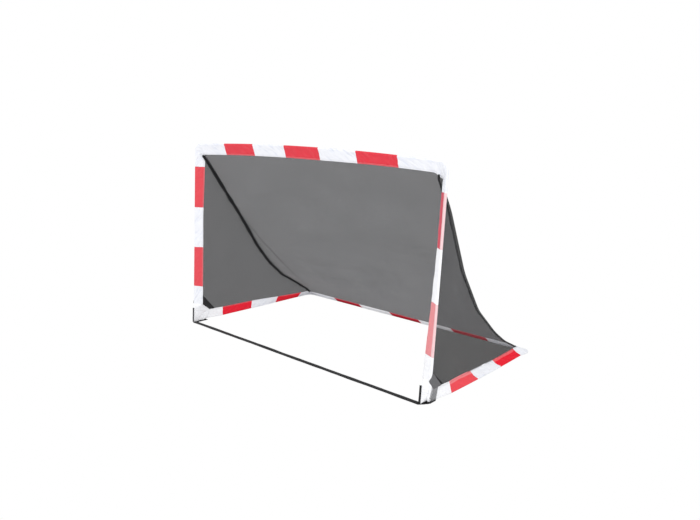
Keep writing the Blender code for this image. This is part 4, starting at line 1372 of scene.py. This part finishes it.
class GOAL_OT_webbing(bpy.types.Operator):
    """Lays the front strap and sews the webbing round both boots"""

    bl_idname = "goal.webbing"
    bl_label = "Webbing"

    def execute(self, context):
        self.front_strap(context)
        for side in SIDES:
            self.corner_strap(context, side)
            self.net_patch(context, side)
            self.outer_patch(context, side)
            self.boot_binding(context, side)
        return {"FINISHED"}

    def outer_edge(self, x):
        """How far forward the webbing under a boot reaches: slantwise from the front strap to the tail."""
        start = FOOT_HALF - STRAP_IN
        share = clamped((x - start) / (FOOT_HALF + TAIL_OUT - start))
        return STRAP_FRONT + (TAIL_Y - STRAP_FRONT) * blend(UNDER_EDGE, share)

    def front_strap(self, context):
        """A strap across the goal line, loose between its ends, which narrow to points under the boots."""
        end = FOOT_HALF - STRAP_IN
        tip = end + STRAP_TIP
        high = STRAP_FRONT + STRAP_WIDTH
        rows = []
        for x, _ in filled([-tip, -end, end, tip], step=STRAP_STEP):
            loose = eased((end - abs(x)) / STRAP_HELD)
            stray = STRAP_STRAY * loose * wobble((x, 0.0), 2.6, 4.0)
            rise = STRAP_THICKNESS / 2 + STRAP_RISE * loose * max(0.0, wobble((x, 0.0), 7.0, 2.0))
            twist = STRAP_TWIST * loose * wobble((x, 0.0), 11.0, 6.0)
            low = min(self.outer_edge(abs(x)), high - STRAP_LEAST)
            rows.append([Vector((x, low + (high - low) * k / 4 + stray, rise + twist * (k / 2 - 1.0)))
                         for k in range(5)])
        webbing_piece("front_strap_webbing", rows, black_webbing(context), "base", "front_strap",
                      STRAP_THICKNESS)

    def corner_strap(self, context, side):
        """Flat under the boot from its inner edge, then up and outwards beside it as a tail."""
        flat = STRAP_THICKNESS / 2
        outer = FOOT_HALF + TAIL_OUT + flat
        inner = CORNER_WEB_MIDDLE - CORNER_WEB / 2
        y = TAIL_Y + TAIL_WIDTH / 2
        head = Vector((BOOT_SIDE + GAP + flat, y, TAIL_TOP))
        line = bent_line([Vector((inner, y, flat)), Vector((outer, y, flat)), head], TAIL_BEND_R, 0.003)
        rows = []
        for point in line:
            inwards = outer - TAIL_BEND_R - point.x
            spread = eased(inwards / TAIL_NARROWING) if point.z < TAIL_BEND_R else 0.0
            low = max(STRAP_FRONT + STRAP_WIDTH + GAP, self.outer_edge(point.x))
            high = y + (CORNER_WEB_BACK - y) * spread + TAIL_WIDTH / 2 * (1.0 - spread)
            rows.append([mirrored(Vector((point.x, low + (high - low) * k / 8, point.z)), side)
                         for k in range(9)])
        webbing_piece(f"{side}_corner_webbing", rows, tail_webbing(context), "base", f"{side}_corner_strap",
                      STRAP_THICKNESS * 0.9)

    def net_patch(self, context, side):
        """Webbing across the net's lower front corner, from the post's hem to the ground sleeve's."""
        rows = []
        borders = ((state.front, BOOT_TOP, PATCH_UP), (state.ground, BOOT_DEPTH, PATCH_BACK))
        for border, start, reach in borders:
            near = patch_run(border, side, start + TAPE_THICKNESS / 2, start)
            far = patch_run(border, side, reach, start)
            rows.append(border.net_edges(near, far, 8, 0.002))
        strips = [[rows[0][i].lerp(rows[1][i], k / 10) for i in range(9)] for k in range(11)]
        piece = webbing_piece(f"{side}_net_patch", strips, black_webbing(context), None,
                              f"{side}_corner_patch", PATCH_THICKNESS)
        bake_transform(piece)

    def outer_patch(self, context, side):
        """Webbing over the outside of the boot, from round the post's foot to the ground sleeve."""
        low_edge, high_edge = TAIL_TOP + GAP, BOOT_TOP + 0.002
        top_front, top_back = Vector((PATCH_WRAP[side], high_edge)), Vector((0.006, BOOT_TOP + 0.036))
        low_front, low_back = Vector((TAIL_Y, low_edge)), Vector((BOOT_DEPTH - 0.012, low_edge))
        rows = []
        for share in marks_between(0.0, 1.0, 24):
            front, back = top_front.lerp(low_front, share), top_back.lerp(low_back, share)
            rows.append([mirrored(self.round_nose(*front.lerp(back, k / 16)), side) for k in range(17)])
        piece = webbing_piece(f"{side}_outer_webbing", rows, worn_webbing(context), None,
                              f"{side}_outer_patch", TAPE_THICKNESS)
        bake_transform(piece)

    def round_nose(self, y, z):
        """A place on the boot's outside, from its distance along cloth that goes round to the front."""
        radius = BOOT_NOSE_R + GAP + TAPE_THICKNESS / 2
        front = z * math.tan(FRONT_LEAN)
        turn = max(front - y, 0.0) / radius
        return Vector((BOOT_SIDE - BOOT_NOSE_R + radius * math.cos(turn),
                       y if y > front else front - radius * math.sin(turn), z))

    def boot_binding(self, context, side):
        """Narrow tape down the boot's front seam."""
        line = []
        for rod, _, fin, growth in boot_line(side):
            middle = Vector((fin.x, fin.y - TAPE_LIFT, fin.z))
            if growth > 0.98 and rod.y <= BOOT_BEND_R / 2 and middle.z > ABOVE_STRAP + HEM_THICKNESS:
                line.append(middle)
        line.append(Vector((line[-1].x, line[-1].y, ABOVE_STRAP)))
        ways = [Vector((BINDING_WIDTH * (k / 4 - 0.5), 0.0, 0.0)) for k in range(5)]
        rows = [[mirrored(point + way, side) for way in ways] for point in line]
        piece = webbing_piece(f"{side}_boot_tape", rows, black_webbing(context), None,
                              f"{side}_boot_binding", TAPE_THICKNESS)
        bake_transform(piece)


class GOAL_OT_rods(bpy.types.Operator):
    """Gives the sprung rods and their end caps their finish"""

    bl_idname = "goal.rods"
    bl_label = "Rods and caps"

    def execute(self, context):
        rod = smooth_solid("glass_fibre", (0.60, 0.57, 0.46), 0.30, (40.0, 40.0, 40.0))
        cap = smooth_solid("cap_plastic", (0.030, 0.030, 0.032), 0.42, (120.0, 120.0, 120.0))
        for name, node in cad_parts.items():
            finish = rod if name.endswith("_rod") else cap if name.endswith("_cap") else None
            if finish is not None:
                for place in node.material_slots:
                    place.material = finish
        return {"FINISHED"}


class GOAL_OT_studio(bpy.types.Operator):
    """Sets the camera at the photograph's place, with a plain floor and soft lights"""

    bl_idname = "goal.studio"
    bl_label = "Studio"

    def execute(self, context):
        studio = context.scene.goal_studio
        self.add_camera(context, studio)
        self.add_floor(studio)
        self.add_surround(context, studio)
        self.add_light("key", studio.key, Vector((3.2, -2.8, 3.0)), 2.6)
        self.add_light("fill", studio.fill, Vector((-3.2, -2.2, 2.4)), 3.0)
        context.scene.view_settings.view_transform = "Standard"
        return {"FINISHED"}

    def add_camera(self, context, studio):
        ahead = Vector((-math.sin(studio.yaw) * math.cos(studio.pitch),
                        math.cos(studio.yaw) * math.cos(studio.pitch), -math.sin(studio.pitch)))
        level = Vector((math.cos(studio.yaw), math.sin(studio.yaw), 0.0))
        above = level.cross(ahead)
        c, s = math.cos(studio.roll), math.sin(studio.roll)
        right, up = level * c + above * s, above * c - level * s
        data = bpy.data.cameras.new("photo_view")
        data.sensor_fit = "HORIZONTAL"
        data.sensor_width = 36.0
        data.lens = studio.focal
        camera = added("photo_view", data)
        turn = Matrix((right, up, -ahead)).transposed().to_4x4()
        camera.matrix_world = Matrix.Translation(Vector(studio.place)) @ turn
        context.scene.camera = camera

    def shown(self, graph, studio, unseen, kind, target):
        """To the camera it is white past the goal and grey through the mesh. The rest meets `unseen`."""
        path = graph.node("ShaderNodeLightPath")
        behind = graph.out(path, "Transparent Depth").above(0.5)
        colour = graph.mix_colour(behind, WHITE, opaque([studio.seen_through] * 3))
        plain = graph.node(kind, None, {"Color": colour, "Strength": 1.0})
        mixed = graph.node("ShaderNodeMixShader", None, {"Fac": graph.out(path, "Is Camera Ray")})
        graph.feed(mixed.inputs[1], unseen.outputs[0])
        graph.feed(mixed.inputs[2], plain.outputs[0])
        graph.finish(mixed, target)

    def add_floor(self, studio):
        mesh = bpy.data.meshes.new("floor")
        work = bmesh.new()
        bmesh.ops.create_grid(work, x_segments=1, y_segments=1, size=40.0)
        work.to_mesh(mesh)
        work.free()
        floor = added("floor", mesh)
        floor.location = (0.0, 0.0, -0.0008)
        made = bpy.data.materials.new("pale_floor")
        graph = Graph(made)
        lit = graph.node("ShaderNodeBsdfDiffuse", None, {"Color": (0.82, 0.82, 0.83, 1.0)})
        self.shown(graph, studio, lit, "ShaderNodeEmission", "ShaderNodeOutputMaterial")
        mesh.materials.append(made)

    def add_surround(self, context, studio):
        world = bpy.data.worlds.new("studio")
        graph = Graph(world)
        even = graph.node("ShaderNodeBackground", None,
                          {"Color": (0.97, 0.98, 1.0, 1.0), "Strength": studio.sky})
        self.shown(graph, studio, even, "ShaderNodeBackground", "ShaderNodeOutputWorld")
        context.scene.world = world

    def add_light(self, name, power, place, size):
        data = bpy.data.lights.new(name, "AREA")
        data.shape = "DISK"
        data.size = size
        data.energy = power
        turn = (LIGHT_TARGET - place).to_track_quat("-Z", "Y").to_matrix().to_4x4()
        added(name, data).matrix_world = Matrix.Translation(place) @ turn


class GOAL_PT_panel(bpy.types.Panel):
    """The goal's steps and their settings, in the sidebar of the 3D view"""

    bl_label = "Pop-up ball goal"
    bl_idname = "GOAL_PT_panel"
    bl_space_type = "VIEW_3D"
    bl_region_type = "UI"
    bl_category = "Goal"

    def draw(self, context):
        scene = context.scene
        for title, group, steps in PANEL:
            box = self.layout.box()
            box.label(text=title)
            settings = getattr(scene, group)
            for name in settings.__annotations__:
                box.prop(settings, name)
            for step in steps:
                box.operator(step)


PANEL = (
    ("Sleeves", "goal_sleeves", ("goal.front_sleeves", "goal.ground_sleeves", "goal.boots")),
    ("Net", "goal_net", ("goal.net",)),
    ("Webbing", "goal_webbing", ("goal.webbing", "goal.rods")),
    ("Studio", "goal_studio", ("goal.studio",)),
)
GROUPS = {
    "goal_sleeves": GoalSleeves,
    "goal_net": GoalNet,
    "goal_webbing": GoalWebbing,
    "goal_studio": GoalStudio,
}
OPERATORS = (
    GOAL_OT_front_sleeves,
    GOAL_OT_ground_sleeves,
    GOAL_OT_boots,
    GOAL_OT_net,
    GOAL_OT_webbing,
    GOAL_OT_rods,
    GOAL_OT_studio,
)


def register():
    for name, group in GROUPS.items():
        bpy.utils.register_class(group)
        setattr(bpy.types.Scene, name, PointerProperty(type=group))
    for operator in OPERATORS:
        bpy.utils.register_class(operator)
    bpy.utils.register_class(GOAL_PT_panel)


def unregister():
    bpy.utils.unregister_class(GOAL_PT_panel)
    for operator in reversed(OPERATORS):
        bpy.utils.unregister_class(operator)
    for name, group in reversed(GROUPS.items()):
        delattr(bpy.types.Scene, name)
        bpy.utils.unregister_class(group)


def main():
    register()
    bpy.ops.goal.studio()
    bpy.ops.goal.front_sleeves()
    bpy.ops.goal.ground_sleeves()
    bpy.ops.goal.boots()
    bpy.ops.goal.net()
    bpy.ops.goal.webbing()
    bpy.ops.goal.rods()


if __name__ == "__main__":
    main()
